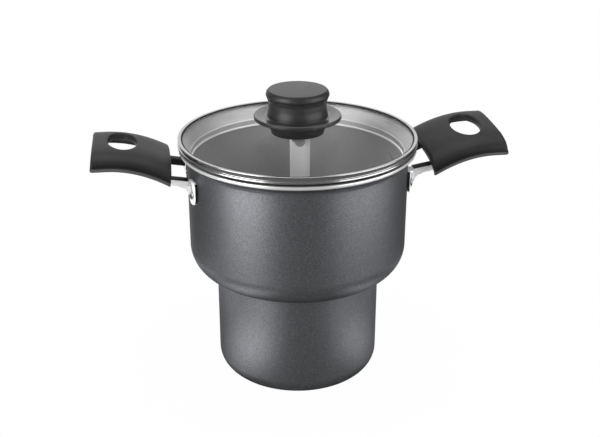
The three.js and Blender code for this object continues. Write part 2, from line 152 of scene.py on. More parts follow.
class GripSizes(bpy.types.PropertyGroup):
    inner_end: length("Inner end", "Distance of the grip's inner end", 83.3 * MM)
    outer_end: length("Outer end", "Distance of the grip's outer end", GRIP_BOX[1].x + END_DRAW)
    inner_lean: angle("Inner lean", "Lean of the inner end towards the pot", 9.0)
    outer_lean: angle("Outer lean", "Lean of the outer end towards the pot", 8.0)
    half_width: length("Half width", "Half the width across the grip", 33.0 * MM)
    height: length("Height", "Height of the crown over the lower edge", 11.05 * MM)
    hollow: length("Hollow", "Height of the hollow under the crown", 6.7 * MM)
    edge_height: length("Edge height", "Height of the lower edge where the grip is level", 156.1 * MM)
    rise: length("Rise", "How much lower the edge is at the inner end", 11.9 * MM)
    level_from: length("Level from", "Distance from the axis where the grip gets level", 122.0 * MM)
    side: length("Side", "Thickness of the turned-down sides", 3.2 * MM)
    end_wall: length("End wall", "Thickness of the outer end", 4.0 * MM)
    round_edge: length("Round edge", "Radius of the grip's rounded edges", 1.3 * MM)
    bead: length("Bead", "How far the bead on the lower edge stands out", 1.1 * MM)
    eye_distance: length("Eye distance", "Distance of the oval hole from the pot's axis", 111.2 * MM)
    eye_radial: length("Eye radial", "Half length of the hole along the grip", 8.9 * MM)
    eye_across: length("Eye across", "Half length of the hole across the grip", 17.4 * MM)
    boss: length("Boss", "Radius of the boss round the screw", 5.0 * MM)
    boss_height: length("Boss height", "Height of the boss over the bracket's plate", 6.5 * MM)
    roll: angle("Roll", "Slight roll of the grips on their brackets", 2.7)


class BracketSizes(bpy.types.PropertyGroup):
    offset: length("Arm offset", "Distance of each arm from the middle", 18.8 * MM)
    width: length("Arm width", "Width of an arm", 7.0 * MM)
    height: length("Arm height", "Height of an arm's turned-down sides", 3.8 * MM)
    sheet: length("Sheet", "Thickness of the bracket's sheet", 1.5 * MM)
    wall_height: length("Wall height", "Height of the arms at the pot's wall", 144.8 * MM)
    slope: number("Slope", "Rise of the arms outside the grip", 0.17)
    knee: length("Knee", "Distance from the axis where the arms turn up", 84.0 * MM)
    plate_slope: number("Plate slope", "Rise of the plate in the grip", 0.45)
    plate_in: length("Plate in", "Distance of the plate's inner edge", 89.0 * MM)
    end: length("End", "Distance of the bracket's outer end", 103.0 * MM)
    foot_offset: length("Foot offset", "Distance of each foot from the middle", 21.0 * MM)
    foot_width: length("Foot width", "Width of a foot", 11.6 * MM)
    foot_low: length("Foot low", "Height of a foot's tip", 128.8 * MM)
    rivet_height: length("Rivet height", "Height of the rivets", 135.7 * MM)
    rivet_head: length("Rivet head", "Radius of a rivet's head", 3.2 * MM)
    rivet_shank: length("Rivet shank", "Radius of a rivet's shank", 2.0 * MM)
    screw_distance: length("Screw distance", "Distance of the grip's screw from the axis", 95.0 * MM)
    screw_head: length("Screw head", "Radius of a screw's head", 3.6 * MM)
    screw_shank: length("Screw shank", "Radius of a screw's shank", 1.8 * MM)


class SteamerSizes(bpy.types.PropertyGroup):
    radius: length("Radius", "Radius of the perforated plate", 58.0 * MM)
    bottom: length("Bottom", "Height of the plate's underside", PLATE_BOX[0].z)
    sheet: length("Sheet", "Thickness of plate and strip", 1.2 * MM)
    hole: length("Hole", "Radius of a steam hole", 2.0 * MM)
    inner_ring: length("Inner ring", "Radius of the innermost ring of holes", 22.0 * MM)
    ring_step: length("Ring step", "Distance from ring to ring", 11.0 * MM)
    inner_holes: count("Inner holes", "Holes in the innermost ring", 8)
    middle_holes: count("Middle holes", "Holes in the middle ring", 13)
    outer_holes: count("Outer holes", "Holes in the outer ring", 19)
    strip_width: length("Strip width", "Width of the lift strip", 13.3 * MM)
    strip_top: length("Strip top", "Height of the lift strip", STRIP_BOX[1].z)
    strip_back: length("Strip back", "Distance of the upright from the plate's middle", 8.0 * MM)
    strip_turn: angle("Strip turn", "Turn of the strip about the pot's axis", -19.0)
    slot_low: length("Slot low", "Height of the slot's lower end", 152.0 * MM)
    slot_high: length("Slot high", "Height of the slot's upper end", 157.6 * MM)
    slot_half: length("Slot half", "Half the width of the slot", 3.5 * MM)
    pin: length("Pin", "Radius of the strip's rivet", 2.0 * MM)
    pin_head: length("Pin head", "Radius of that rivet's heads", 3.4 * MM)


class Finishes(bpy.types.PropertyGroup):
    coating: colour("Coating", "Graphite coating of the pot", (0.220, 0.227, 0.241))
    fleck: colour("Fleck", "Bright flecks in the coating", (0.385, 0.398, 0.417))
    outline: colour("Outline", "Light that the coating mirrors towards its outline", (0.36, 0.36, 0.36))
    lining: colour("Lining", "Non-stick coating inside the pot", (0.31, 0.31, 0.31))
    aluminium: colour("Aluminium", "Brushed metal of rim, plate, strip and brackets", (0.75, 0.75, 0.75))
    steel: colour("Steel", "Polished steel of lid ring and fasteners", (0.70, 0.70, 0.70))
    grip: colour("Grip", "Black plastic of the grips", (0.032, 0.032, 0.032))
    knob: colour("Knob", "Black plastic of the knob", (0.026, 0.026, 0.026))
    # The rubber colour is also the black of the painted shade on the lid ring and the brackets
    rubber: colour("Rubber", "Rubber of the gasket, and the black lacquer", (0.018, 0.018, 0.018))
    glass: colour("Glass", "Tint of the lid's glass", (0.975, 0.975, 0.975))


class StageSettings(bpy.types.PropertyGroup):
    aim_height: length("Aim height", "Height that the camera looks at", 105.3 * MM)
    distance: length("Distance", "Distance of the camera from that point", 661.9 * MM)
    elevation: angle("Elevation", "Height of the camera over the horizon", 23.74)
    azimuth: angle("Azimuth", "Turn of the camera about the pot's axis", -8.91)
    lens: number("Lens", "Focal length in millimetres", 59.645)
    side_shift: number("Side shift", "Sideways shift of the picture", 0.004)
    left_turn: angle("Left turn", "Turn of the left softbox from the camera", -50.0)
    right_turn: angle("Right turn", "Turn of the right softbox from the camera", 67.0)
    left_light: number("Left light", "Power of the left softbox", 6.3)
    right_light: number("Right light", "Power of the right softbox", 5.3)
    top_light: number("Top light", "Power of the overhead softbox", 3.0)
    ambient: share("Ambient", "Brightness of the room round the stage", 0.16)
    mirrored: share("Mirrored room", "Brightness of the room as glossy surfaces mirror it", 0.12)
    backdrop: number("Backdrop", "Brightness of the backdrop as surfaces mirror it", 0.8)
    box_distance: length("Box distance", "Distance of the side softboxes from the axis", 750 * MM)
    box_level: length("Box level", "Height of the side softboxes' middles", 300 * MM)
    box_height: length("Box height", "Height of a side softbox", 800 * MM)
    left_width: length("Left width", "Width of the left softbox", 550 * MM)
    right_width: length("Right width", "Width of the right softbox", 870 * MM)
    top_back: length("Top back", "How far the overhead softbox stands behind the axis", 200 * MM)
    top_level: length("Top level", "Height of the overhead softbox", 900 * MM)
    top_width: length("Top width", "Width of the overhead softbox", 900 * MM)
    top_depth: length("Top depth", "Depth of the overhead softbox", 700 * MM)
    floor_radius: length("Floor radius", "Radius of the round floor", 200.0 * MM)
    floor_glow: share("Floor glow", "Share of the floor that shows plain white", 0.98)


# Settings and finishing

def settings(name):
    """Group of settings that the scene holds under this name."""
    return getattr(bpy.context.scene, name)


def new_piece(name, mesh, materials):
    """Object in the scene for a mesh, with its materials."""
    piece = bpy.data.objects.new(name, mesh)
    bpy.context.scene.collection.objects.link(piece)
    for material in materials:
        mesh.materials.append(material)
    return piece


def smooth(mesh, sharp_degrees=35.0):
    """Shades a mesh smooth, but sharp where its faces meet at a steep angle."""
    mesh.shade_smooth()
    mesh.set_sharp_from_angle(angle=math.radians(sharp_degrees))


def freeze(piece):
    """Turns the piece's modifiers into its plain mesh."""
    evaluated = piece.evaluated_get(bpy.context.evaluated_depsgraph_get())
    mesh = bpy.data.meshes.new_from_object(evaluated)
    piece.modifiers.clear()
    old = piece.data
    piece.data = mesh
    bpy.data.meshes.remove(old)


def settle(piece, body, slot, *nodes):
    """Gives a piece its body, in place of the CAD nodes that it dresses, which it hides. The slot is not
    used.
    """
    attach(piece, body)
    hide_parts(*nodes)


# Outlines and meshes

def arc(centre, radius, start, end, steps):
    """Points of an arc in degrees, both ends included."""
    points = []
    for i in range(steps + 1):
        turn = math.radians(start + (end - start) * i / steps)
        points.append((centre[0] + radius * math.cos(turn), centre[1] + radius * math.sin(turn)))
    return points


def rounded(corners, closed=False, steps=6):
    """Outline through corners (across, up, radius), each corner rounded by its radius."""
    outline = []
    last = len(corners) - 1
    for i, (x, y, radius) in enumerate(corners):
        here = Vector((x, y))
        at_end = not closed and i in (0, last)
        if radius == 0 or at_end:
            outline.append((x, y))
            continue
        before = Vector(corners[i - 1][:2]) - here
        after = Vector(corners[i + 1 if i < last else 0][:2]) - here
        half = before.angle(after) / 2
        shorter = min(before.length, after.length)
        reach = min(radius / math.tan(half), shorter * CORNER_REACH)
        start = here + before.normalized() * reach
        end = here + after.normalized() * reach
        for k in range(steps + 1):
            t = k / steps
            point = start.lerp(here, t).lerp(here.lerp(end, t), t)
            outline.append((point.x, point.y))
    return outline


def revolve(name, outline, segments):
    """Solid of revolution of an outline (radius, height), which ends on the axis or closes on itself."""
    on_axis = outline[0][0] == 0
    build = bmesh.new()
    rings = []
    for radius, height in outline:
        if radius == 0:
            rings.append([build.verts.new((0, 0, height))])
            continue
        ring = []
        for i in range(segments):
            turn = 2 * math.pi * i / segments
            ring.append(build.verts.new((radius * math.cos(turn), radius * math.sin(turn), height)))
        rings.append(ring)
    pairs = list(zip(rings, rings[1:]))
    if not on_axis:
        pairs.append((rings[-1], rings[0]))
    for low, high in pairs:
        for i in range(segments):
            j = (i + 1) % segments
            loop = [low[i % len(low)], low[j % len(low)], high[j % len(high)], high[i % len(high)]]
            build.faces.new(list(dict.fromkeys(loop)))
    return finished(build, name)


def finished(build, name):
    """Smooth mesh of a build, with its points merged and its faces turned outwards."""
    bmesh.ops.remove_doubles(build, verts=build.verts, dist=WELD)
    bmesh.ops.recalc_face_normals(build, faces=build.faces)
    mesh = bpy.data.meshes.new(name)
    build.to_mesh(mesh)
    build.free()
    smooth(mesh)
    return mesh


def loft(build, rings, close_loop=False):
    """Skins closed rings of points one after another, capping the two ends unless the loop closes."""
    layers = [[build.verts.new(point) for point in ring] for ring in rings]
    pairs = list(zip(layers, layers[1:]))
    if close_loop:
        pairs.append((layers[-1], layers[0]))
    for low, high in pairs:
        for i in range(len(low)):
            j = (i + 1) % len(low)
            build.faces.new((low[i], low[j], high[j], high[i]))
    if not close_loop:
        build.faces.new(layers[0])
        build.faces.new(layers[-1])


def half_turned(mesh, name):
    """Copy of a mesh turned half a turn about the pot's axis."""
    copy = mesh.copy()
    copy.name = name
    copy.transform(Matrix.Rotation(math.pi, 4, "Z"))
    return copy


def outwards(face):
    """Positive where a face looks away from the pot's axis."""
    return face.normal.x * face.center.x + face.normal.y * face.center.y


def finish_faces(mesh, finish_of):
    """Gives each face the finish that a function picks for it."""
    for face in mesh.polygons:
        face.material_index = int(finish_of(face))


# Materials

# Attribute of a mesh that holds painted light and shade, which lightens or darkens its paint
PAINTED_LIGHT = "shade"


class Nodes:
    """Short hand for building one material's node tree."""

    def __init__(self, name):
        self.material = bpy.data.materials.new(name)
        self.material.use_nodes = True
        self.tree = self.material.node_tree
        self.shader = self.tree.nodes["Principled BSDF"]
        self.place = self.add("ShaderNodeTexCoord").outputs["Object"]

    def add(self, kind, **values):
        node = self.tree.nodes.new(kind)
        for key, value in values.items():
            setattr(node, key, value)
        return node

    def link(self, start, end):
        self.tree.links.new(start, end)

    def set(self, **values):
        for key, value in values.items():
            self.shader.inputs[key.replace("_", " ")].default_value = value

    def into(self, label, source):
        """Feeds a source into one of the shader's sockets."""
        self.link(source, self.shader.inputs[label])

    def noise(self, scale, detail=2.0, stretch=None):
        """Noise on Object coordinates, stretched per axis where a stretch is given."""
        node = self.add("ShaderNodeTexNoise")
        node.inputs["Scale"].default_value = scale
        node.inputs["Detail"].default_value = detail
        place = self.place
        if stretch is not None:
            mapping = self.add("ShaderNodeMapping")
            mapping.inputs["Scale"].default_value = stretch
            self.link(place, mapping.inputs["Vector"])
            place = mapping.outputs["Vector"]
        self.link(place, node.inputs["Vector"])
        return node.outputs["Fac"]

    def ramp(self, factor, stops):
        node = self.add("ShaderNodeValToRGB")
        ramp = node.color_ramp
        while len(ramp.elements) < len(stops):
            ramp.elements.new(1.0)
        for element, (position, paint) in zip(ramp.elements, stops):
            element.position = position
            element.color = (*paint, 1.0)
        self.link(factor, node.inputs["Fac"])
        return node.outputs["Color"]

    def mottled(self, factor, base, darkest, lightest, spread=0.2):
        """Paint that wanders between a darker and a lighter tone of its base."""
        stops = [(0.5 - spread, tone(base, darkest)), (0.5 + spread, tone(base, lightest))]
        return self.ramp(factor, stops)

    def range(self, factor, low, high):
        node = self.add("ShaderNodeMapRange")
        node.inputs["To Min"].default_value = low
        node.inputs["To Max"].default_value = high
        self.link(factor, node.inputs["Value"])
        return node.outputs["Result"]

    def scaled(self, paint, attribute):
        """Paint made lighter or darker by an attribute of the mesh."""
        factor = self.add("ShaderNodeAttribute", attribute_name=attribute).outputs["Fac"]
        node = self.add("ShaderNodeVectorMath", operation="SCALE")
        self.link(paint, node.inputs[0])
        self.link(factor, node.inputs["Scale"])
        return node.outputs["Vector"]

    def bump(self, height, strength, distance):
        node = self.add("ShaderNodeBump")
        node.inputs["Strength"].default_value = strength
        node.inputs["Distance"].default_value = distance
        self.link(height, node.inputs["Height"])
        self.link(node.outputs["Normal"], self.shader.inputs["Normal"])


def tone(value, factor):
    """Colour made lighter or darker by a factor."""
    return tuple(min(1.0, channel * factor) for channel in value)


def graphite_coating():
    """Satin graphite coating with fine bright flecks and a slightly pebbled skin."""
    finish = settings("steamer_finish")
    nodes = Nodes("graphite_coating")
    base = tuple(finish.coating)
    stops = [(0.30, tone(base, 0.72)), (0.52, base), (0.76, tuple(finish.fleck))]
    nodes.into("Base Color", nodes.ramp(nodes.noise(scale=1900.0), stops))
    nodes.into("Roughness", nodes.range(nodes.noise(scale=900.0), 0.34, 0.46))
    nodes.bump(nodes.noise(scale=1100.0), strength=0.22, distance=0.12 * MM)
    nodes.set(Metallic=0.9, Specular_Tint=(*finish.outline, 1.0))
    return nodes.material


def inner_coating(name):
    """Dark non-stick coating inside the pot, dull and finely speckled."""
    nodes = Nodes(name)
    speckle = nodes.noise(scale=1600.0)
    base = settings("steamer_finish").lining
    nodes.into("Base Color", nodes.mottled(speckle, base, 0.9, 1.1, spread=0.15))
    nodes.into("Roughness", nodes.range(speckle, 0.5, 0.62))
    nodes.bump(speckle, strength=0.1, distance=0.08 * MM)
    return nodes.material


def brushed_metal(name, roughness, streaks, metallic=1.0, bright=1.0):
    """Bare metal with turned or rolled streaks, which are stretched per axis."""
    nodes = Nodes(name)
    grain = nodes.noise(scale=90.0, detail=4.0, stretch=streaks)
    base = tone(settings("steamer_finish").aluminium, bright)
    nodes.into("Base Color", nodes.mottled(grain, base, 0.92, 1.0, spread=0.25))
    nodes.into("Roughness", nodes.range(grain, roughness * 0.8, roughness * 1.25))
    nodes.bump(grain, strength=0.05, distance=0.05 * MM)
    nodes.set(Metallic=metallic)
    return nodes.material


def polished_steel(name, roughness, bright=1.0):
    """Polished steel with faint polishing streaks."""
    nodes = Nodes(name)
    streaks = nodes.noise(scale=60.0, detail=5.0, stretch=(1.0, 1.0, 14.0))
    base = tone(settings("steamer_finish").steel, bright)
    nodes.into("Base Color", nodes.mottled(streaks, base, 0.94, 1.0))
    nodes.into("Roughness", nodes.range(streaks, roughness * 0.75, roughness * 1.3))
    nodes.set(Metallic=1.0)
    return nodes.material


def black_plastic(name, base, gloss, with_painted_light=False):
    """Satin black moulded plastic with a fine eroded grain, lighter or darker where the mesh carries painted
    light and shade.
    """
    nodes = Nodes(name)
    grain = nodes.noise(scale=2200.0)
    paint = nodes.mottled(nodes.noise(scale=70.0, detail=3.0), base, 0.9, 1.1)
    if with_painted_light:
        paint = nodes.scaled(paint, PAINTED_LIGHT)
    nodes.into("Base Color", paint)
    nodes.into("Roughness", nodes.range(grain, 0.36, 0.48))
    nodes.bump(grain, strength=0.16, distance=0.06 * MM)
    nodes.set(Specular_IOR_Level=gloss)
    return nodes.material


def painted_shade_black(name):
    """Dull black of painted shade in the lid ring's recess and on the brackets' arms."""
    return black_plastic(name, settings("steamer_finish").rubber, gloss=0.1)


def guard_gloss():
    """Smoother black plastic on top of the knob's guard."""
    material = black_plastic("guard_plastic", settings("steamer_finish").knob, gloss=1.0)
    material.node_tree.nodes["Principled BSDF"].inputs["Coat Weight"].default_value = 1.0
    return material


def gasket_rubber():
    """Matt black rubber."""
    nodes = Nodes("gasket_rubber")
    grain = nodes.noise(scale=1500.0)
    nodes.into("Base Color", nodes.mottled(grain, settings("steamer_finish").rubber, 0.85, 1.2))
    nodes.into("Roughness", nodes.range(grain, 0.7, 0.85))
    return nodes.material


def lid_glass():
    """Clear tempered glass with the faintest waviness, which lets the lamps through."""
    finish = settings("steamer_finish")
    nodes = Nodes("lid_glass")
    nodes.set(Base_Color=(*finish.glass, 1.0), IOR=1.05, Transmission_Weight=1.0)
    wave = nodes.noise(scale=35.0, detail=1.0)
    nodes.into("Roughness", nodes.range(wave, 0.0, 0.02))
    nodes.bump(wave, strength=0.02, distance=0.2 * MM)
    clear = nodes.add("ShaderNodeBsdfTransparent")
    clear.inputs["Color"].default_value = (*finish.glass, 1.0)
    mix = nodes.add("ShaderNodeMixShader")
    nodes.link(nodes.add("ShaderNodeLightPath").outputs["Is Shadow Ray"], mix.inputs["Fac"])
    nodes.link(nodes.shader.outputs[0], mix.inputs[1])
    nodes.link(clear.outputs[0], mix.inputs[2])
    nodes.link(mix.outputs[0], nodes.tree.nodes["Material Output"].inputs["Surface"])
    return nodes.material


# Pot

def pot_outline(sizes):
    """Outline from the base's middle up the outside, over the rim and down the inside."""
    wall = sizes.wall
    step = sizes.step_height
    rim = sizes.rim_height
    bowl_centre = (sizes.bowl_radius - sizes.bowl_corner, step + sizes.bowl_corner)
    base_centre = (sizes.well_radius - sizes.base_corner, sizes.base_corner)
    inner_corner = sizes.base_corner - wall
    inner_well = sizes.well_radius - wall
    inner_bowl = sizes.bowl_radius - wall
    neck = 2.0 * MM
    well_top = step - 3 * neck
    flare = rim - 7.2 * MM
    flare_bend = 3.5 * MM
    bowl_top = flare - 6 * MM
    lip = rim - 2.2 * MM
    outline = [(0, 0)]
    outline += arc(base_centre, sizes.base_corner, -90, 0, 14)
    outline += rounded(
        [
            (sizes.well_radius, well_top, 0),
            (sizes.well_radius, step + 0.1 * MM, neck),
            (sizes.well_radius + 2 * neck, step + 0.5 * MM, 0),
        ]
    )
    outline += arc(bowl_centre, sizes.bowl_corner, -68, 0, 22)
    outline += rounded(
        [
            (sizes.bowl_radius, bowl_top, 0),
            (sizes.bowl_radius, flare + 1.2 * MM, flare_bend),
            (sizes.rim_radius - 0.9 * MM, lip - 0.3 * MM, 1.2 * MM),
            (sizes.rim_radius, lip + 0.4 * MM, 0.8 * MM),
            (sizes.rim_radius, rim, 0.7 * MM),
            (sizes.rim_radius - 1.8 * MM, rim, 0.8 * MM),
            (inner_bowl, flare + 1.8 * MM, flare_bend),
            (inner_bowl, bowl_top, 0),
        ]
    )
    outline += arc(bowl_centre, sizes.bowl_corner - wall, 0, -80, 24)
    outline += rounded(
        [
            (inner_well + 2.6 * MM, step + wall + 0.1 * MM, 0),
            (inner_well, step + wall, 1.2 * MM),
            (inner_well, well_top, 0),
        ]
    )
    outline += arc((inner_well - inner_corner, sizes.base + inner_corner), inner_corner, 0, -90, 12)
    outline.append((0, sizes.base))
    return outline


COATED, BARE, LINED = range(3)
# Upward part of a normal above which a face belongs to the rim's top or to the floor inside
RIM_TOP = 0.6
INNER_FLOOR = 0.5


def pot_finish(face, sizes):
    """Bare metal round the rim, lining inside and coating outside."""
    round_rim = face.center.z > sizes.rim_height - sizes.bare_rim and face.normal.z < RIM_TOP
    if round_rim and outwards(face) > 0:
        return BARE
    if outwards(face) < 0 or face.normal.z > INNER_FLOOR:
        return LINED
    return COATED


class STEAMER_OT_pot(bpy.types.Operator):
    """Pressed pot: steaming bowl over the narrower water well, coated up to its bare rim"""

    bl_idname = "steamer.pot"
    bl_label = "Pot"

    def execute(self, context):
        sizes = settings("steamer_pot")
        mesh = revolve("pot_wall", pot_outline(sizes), LARGE_ROUND)
        turned = (1.0, 1.0, 30.0)
        rim = brushed_metal("bare_rim", roughness=0.3, streaks=turned, metallic=0.55, bright=1.25)
        pot = new_piece("pot_wall", mesh, [graphite_coating(), rim, inner_coating("inner_coating")])
        finish_faces(mesh, lambda face: pot_finish(face, sizes))
        settle(pot, "pot", "pot_coating", "pot_body")
        return {"FINISHED"}


# Lid

def ring_outline(pot, lid):
    """Outline from the skirt's lower edge up the outside, over the lip and down the inside."""
    flange = pot.rim_height + lid.gap
    top = flange + lid.band
    sheet = lid.sheet
    skirt = pot.bowl_radius - pot.wall - 0.5 * MM
    hem = skirt - 1.9 * sheet
    bend = pot.rim_height - lid.bend_drop
    low = pot.rim_height - lid.skirt_drop
    edge = lid.radius
    lip = edge - lid.lip
    shadow_tongue = lip - lid.shadow_tongue
    pocket = edge - 1.6 * sheet
    seat = edge - 2.1 * MM
    foot = flange + 1.3 * MM
    crease = 0.2 * MM
    cut = 0.05 * MM
    return rounded(
        [
            (skirt, low, 0.35 * MM),
            (skirt, bend, 1.2 * MM),
            (pot.rim_radius - 2.2 * MM, flange, 1.6 * MM),
            (seat, flange, crease),
            (seat + 0.2 * MM, foot, crease),
            (edge, foot, 0.5 * MM),
            (edge, foot + 1.1 * MM, 0.8 * MM),
            (edge - 0.8 * MM, foot + 1.5 * MM, 0.3 * MM),
            (edge - 0.5 * MM, top - 1.2 * MM, 0.6 * MM),
            (edge - 0.1 * MM, top, 1.0 * MM),
            (lip, top - 0.1 * MM, 0.35 * MM),
            (lip, top - 0.6 * sheet, cut),
            # Fold under the lip that carries painted shade over the glass
            (shadow_tongue, top - 0.7 * sheet, cut),
            (shadow_tongue, top - sheet, cut),
            (edge - sheet, top - sheet, crease),
            (pocket, top - 2.0 * sheet, crease),
            (pocket, foot + sheet, crease),
            (seat - sheet, flange + sheet, crease),
            (pot.rim_radius - 2.4 * MM, flange + sheet, 1.4 * MM),
            (skirt - sheet, bend + 0.2 * MM, 0.9 * MM),
            (skirt - sheet, low + lid.hem, crease),
            (hem, low + 0.9 * MM, 0.3 * MM),
            (hem, low, 0.3 * MM),
        ],
        closed=True,
    )


# Finishes of the lid ring: the third is black painted shade, the fourth a painted highlight
POLISHED, SATIN, PAINTED_SHADE, PAINTED_HIGHLIGHT = range(4)


def ring_finish(face, pot, lid):
    """Painted shade in the recess and inside the lip, painted highlight on hem and bend, satin inside,
    polished outside.
    """
    radius = face.center.xy.length
    height = face.center.z
    inside = outwards(face) < 0
    sheet = lid.sheet
    rim = pot.rim_height
    lip = lid.radius - lid.lip
    cut = 0.05 * MM
    # Black painted shade in the recess under the band and on the fold under the lip
    in_recess = rim < height < rim + 2.0 * sheet and radius < lid.radius - 0.5 * sheet
    if in_recess and (outwards(face) > 0 or face.normal.z < -0.5):
        return PAINTED_SHADE
    on_lip = height > rim + lid.gap + lid.band - 1.2 * sheet
    if on_lip and (radius < lip - cut or inside and radius < lip + cut):
        return PAINTED_SHADE
    # Painted highlight lines on the hem and on the bend inside
    on_hem = height < rim - lid.skirt_drop + lid.hem
    if inside and (on_hem or abs(height - rim + lid.bend_drop) < 0.8 * sheet):
        return PAINTED_HIGHLIGHT
    if radius < lid.radius - 2.0 * sheet and height < LID_BOX[1].z - 1.5 * sheet:
        return SATIN
    return POLISHED


class STEAMER_OT_lid_ring(bpy.types.Operator):
    """Folded steel ring round the glass, with its skirt in the pot's mouth"""

    bl_idname = "steamer.lid_ring"
    bl_label = "Lid ring"

    def execute(self, context):
        pot = settings("steamer_pot")
        lid = settings("steamer_lid")
        mesh = revolve("lid_ring", ring_outline(pot, lid), LARGE_ROUND)
        turned = (1.0, 1.0, 14.0)
        # The recess finish is painted shade, the edge finish a painted highlight
        finishes = [
            polished_steel("ring_steel", roughness=0.2),
            polished_steel("ring_satin", roughness=0.42, bright=1.12),
            painted_shade_black("ring_painted_shade"),
            brushed_metal("ring_painted_highlight", roughness=0.35, streaks=turned, metallic=0.3, bright=1.3),
        ]
        ring = new_piece("lid_ring", mesh, finishes)
        finish_faces(mesh, lambda face: ring_finish(face, pot, lid))
        settle(ring, "lid", "lid_steel", "lid_rim")
        return {"FINISHED"}


def glass_edge(lid):
    """Radius of the glass, which sits inside the ring."""
    return lid.radius - lid.sheet - lid.gap


def glass_underside(radius, pot, lid):
    """Height of the glass's underside, which is crowned towards the middle."""
    edge = glass_edge(lid)
    low = pot.rim_height + 2 * lid.gap + lid.sheet
    return low + lid.glass_rise * max(0.0, 1 - (radius / edge) ** 2)


class STEAMER_OT_lid_glass(bpy.types.Operator):
    """Shallow glass disc bored for the knob's screw"""

    bl_idname = "steamer.lid_glass"
    bl_label = "Lid glass"

    def execute(self, context):
        pot = settings("steamer_pot")
        lid = settings("steamer_lid")
        edge = glass_edge(lid)
        low = glass_underside(edge, pot, lid)
        steps = 24
        span = edge - 0.5 * MM - lid.bore
        radii = [lid.bore + span * i / steps for i in range(steps + 1)]
        under = [(r, glass_underside(r, pot, lid)) for r in radii]
        top = [(r, z + lid.glass) for r, z in reversed(under)]
        rim = [(edge, low + 0.4 * MM), (edge, low + lid.glass - 0.5 * MM)]
        mesh = revolve("lid_pane", under + rim + top, DISC_ROUND)
        pane = new_piece("lid_pane", mesh, [lid_glass()])
        settle(pane, "lid", "lid_glass", "lid_glass")
        return {"FINISHED"}


# Knob

# Upward part of a normal above which a face belongs to the top of the guard or the cap, whose top is painted
# lighter as a painted sheen
GUARD_TOP = 0.8
CAP_TOP = 0.9


def knob_base_outline(knob, foot_low):
    """Outline of the foot, the finger guard and the waist up to the cap."""
    guard_top = knob.guard_height + knob.guard
    bore = knob.screw + GAP
    waist = knob.cap_radius - 1.95 * MM
    return rounded(
        [
            (bore, foot_low, 0),
            (knob.foot_radius - 0.5 * MM, foot_low, 1.0 * MM),
            (knob.foot_radius, knob.guard_height - 1.6 * MM, 2.0 * MM),
            (knob.guard_radius - 2.0 * MM, knob.guard_height, 2.0 * MM),
            (knob.guard_radius, knob.guard_height - 0.3 * MM, 0.9 * MM),
            (knob.guard_radius, guard_top + 0.3 * MM, 1.1 * MM),
            (knob.cap_radius + 1.0 * MM, guard_top - 0.9 * MM, 1.5 * MM),
            (waist + 1.0 * MM, guard_top - 0.7 * MM, 0.6 * MM),
            (waist + 0.8 * MM, guard_top + 1.4 * MM, 1.5 * MM),
            (waist, guard_top + 4.9 * MM, 5.0 * MM),
            (waist + 0.3 * MM, knob.parting - 2.4 * MM, 2.5 * MM),
            (knob.cap_radius - 0.7 * MM, knob.parting, 0.25 * MM),
            (bore, knob.parting, 0),
        ],
        closed=True,
        steps=8,
    )


def knob_cap_outline(knob):
    """Outline of the cap with the screw's pocket below and a faintly crowned top."""
    low = knob.parting + GAP
    pocket = knob.parting + 2.6 * MM
    bore = knob.screw + GAP
    flat = knob.cap_radius - 2.2 * MM
    sag = 0.5 * MM
    crown_radius = flat**2 / (2 * sag)
    slope = math.degrees(math.asin(flat / crown_radius))
    crown_arc = arc((0, knob.top - crown_radius), crown_radius, 90 - slope, 90, 10)
    shoulder = rounded(
        [
            (bore, low, 0),
            (knob.cap_radius - 0.6 * MM, low, 0.3 * MM),
            (knob.cap_radius, low + 1.5 * MM, 1.4 * MM),
            (knob.cap_radius - 0.5 * MM, low + 3.4 * MM, 1.6 * MM),
            (flat + 0.5 * MM, knob.top - sag - 0.1 * MM, 0.5 * MM),
            crown_arc[0] + (0,),
        ],
        steps=8,
    )
    return [(0, pocket), (bore, pocket)] + shoulder + crown_arc[1:-1] + [(0, knob.top)]


class STEAMER_OT_knob(bpy.types.Operator):
    """Lid knob: waisted lower piece with finger guard, and the cap on top of it"""

    bl_idname = "steamer.knob"
    bl_label = "Knob"

    def execute(self, context):
        knob = settings("steamer_knob")
        paint = settings("steamer_finish").knob
        plastic = black_plastic("knob_plastic", paint, gloss=0.42)
        # The crown is the knob's plastic painted lighter, as a painted sheen on the top
        crown_painted_sheen = black_plastic("crown_painted_sheen", tone(paint, 2.4), gloss=1.0)
        foot_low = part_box("knob_base")[0].z

        def on_guard(face):
            return face.normal.z > GUARD_TOP and face.center.xy.length > knob.foot_radius

        def on_crown(face):
            return face.normal.z > CAP_TOP

        for name, outline, special, is_special, node in (
            ("knob_lower", knob_base_outline(knob, foot_low), guard_gloss(), on_guard, "knob_base"),
            ("knob_top", knob_cap_outline(knob), crown_painted_sheen, on_crown, "knob_cap"),
        ):
            mesh = revolve(name, outline, KNOB_ROUND)
            piece = new_piece(name, mesh, [plastic, special])
            finish_faces(mesh, is_special)
            settle(piece, "lid", "knob_plastic", node)
        return {"FINISHED"}


# Grips

# Rounds in which a place on the curved grip settles
SETTLING_STEPS = 5
# Powers of the arched sections of the skin and the hollow
CROWN_POWER = 3.0
ROOF_POWER = 2.5
# Points along the ends, the sides and the corners of every ring
END_POINTS = 44
SIDE_POINTS = 32
CORNER_POINTS = 6
# Rings up the skin, as shares of the grip's height, and where the skin passes into the crown
CREST_SHARE = 0.88
SKIN_SHARES = (0.21, 0.25, 0.31, 0.38, 0.46, 0.56, 0.65, 0.74, 0.82, CREST_SHARE)
BEAD_RINGS = 8
CROWN_RINGS = 15
CROWN_CROWDING = 1.5
# Rings of the hole's upper edge and lower lip, and under the crown
HOLE_EDGE_RINGS = 5
HOLE_LIP_RINGS = 4
UNDER_RINGS = 6
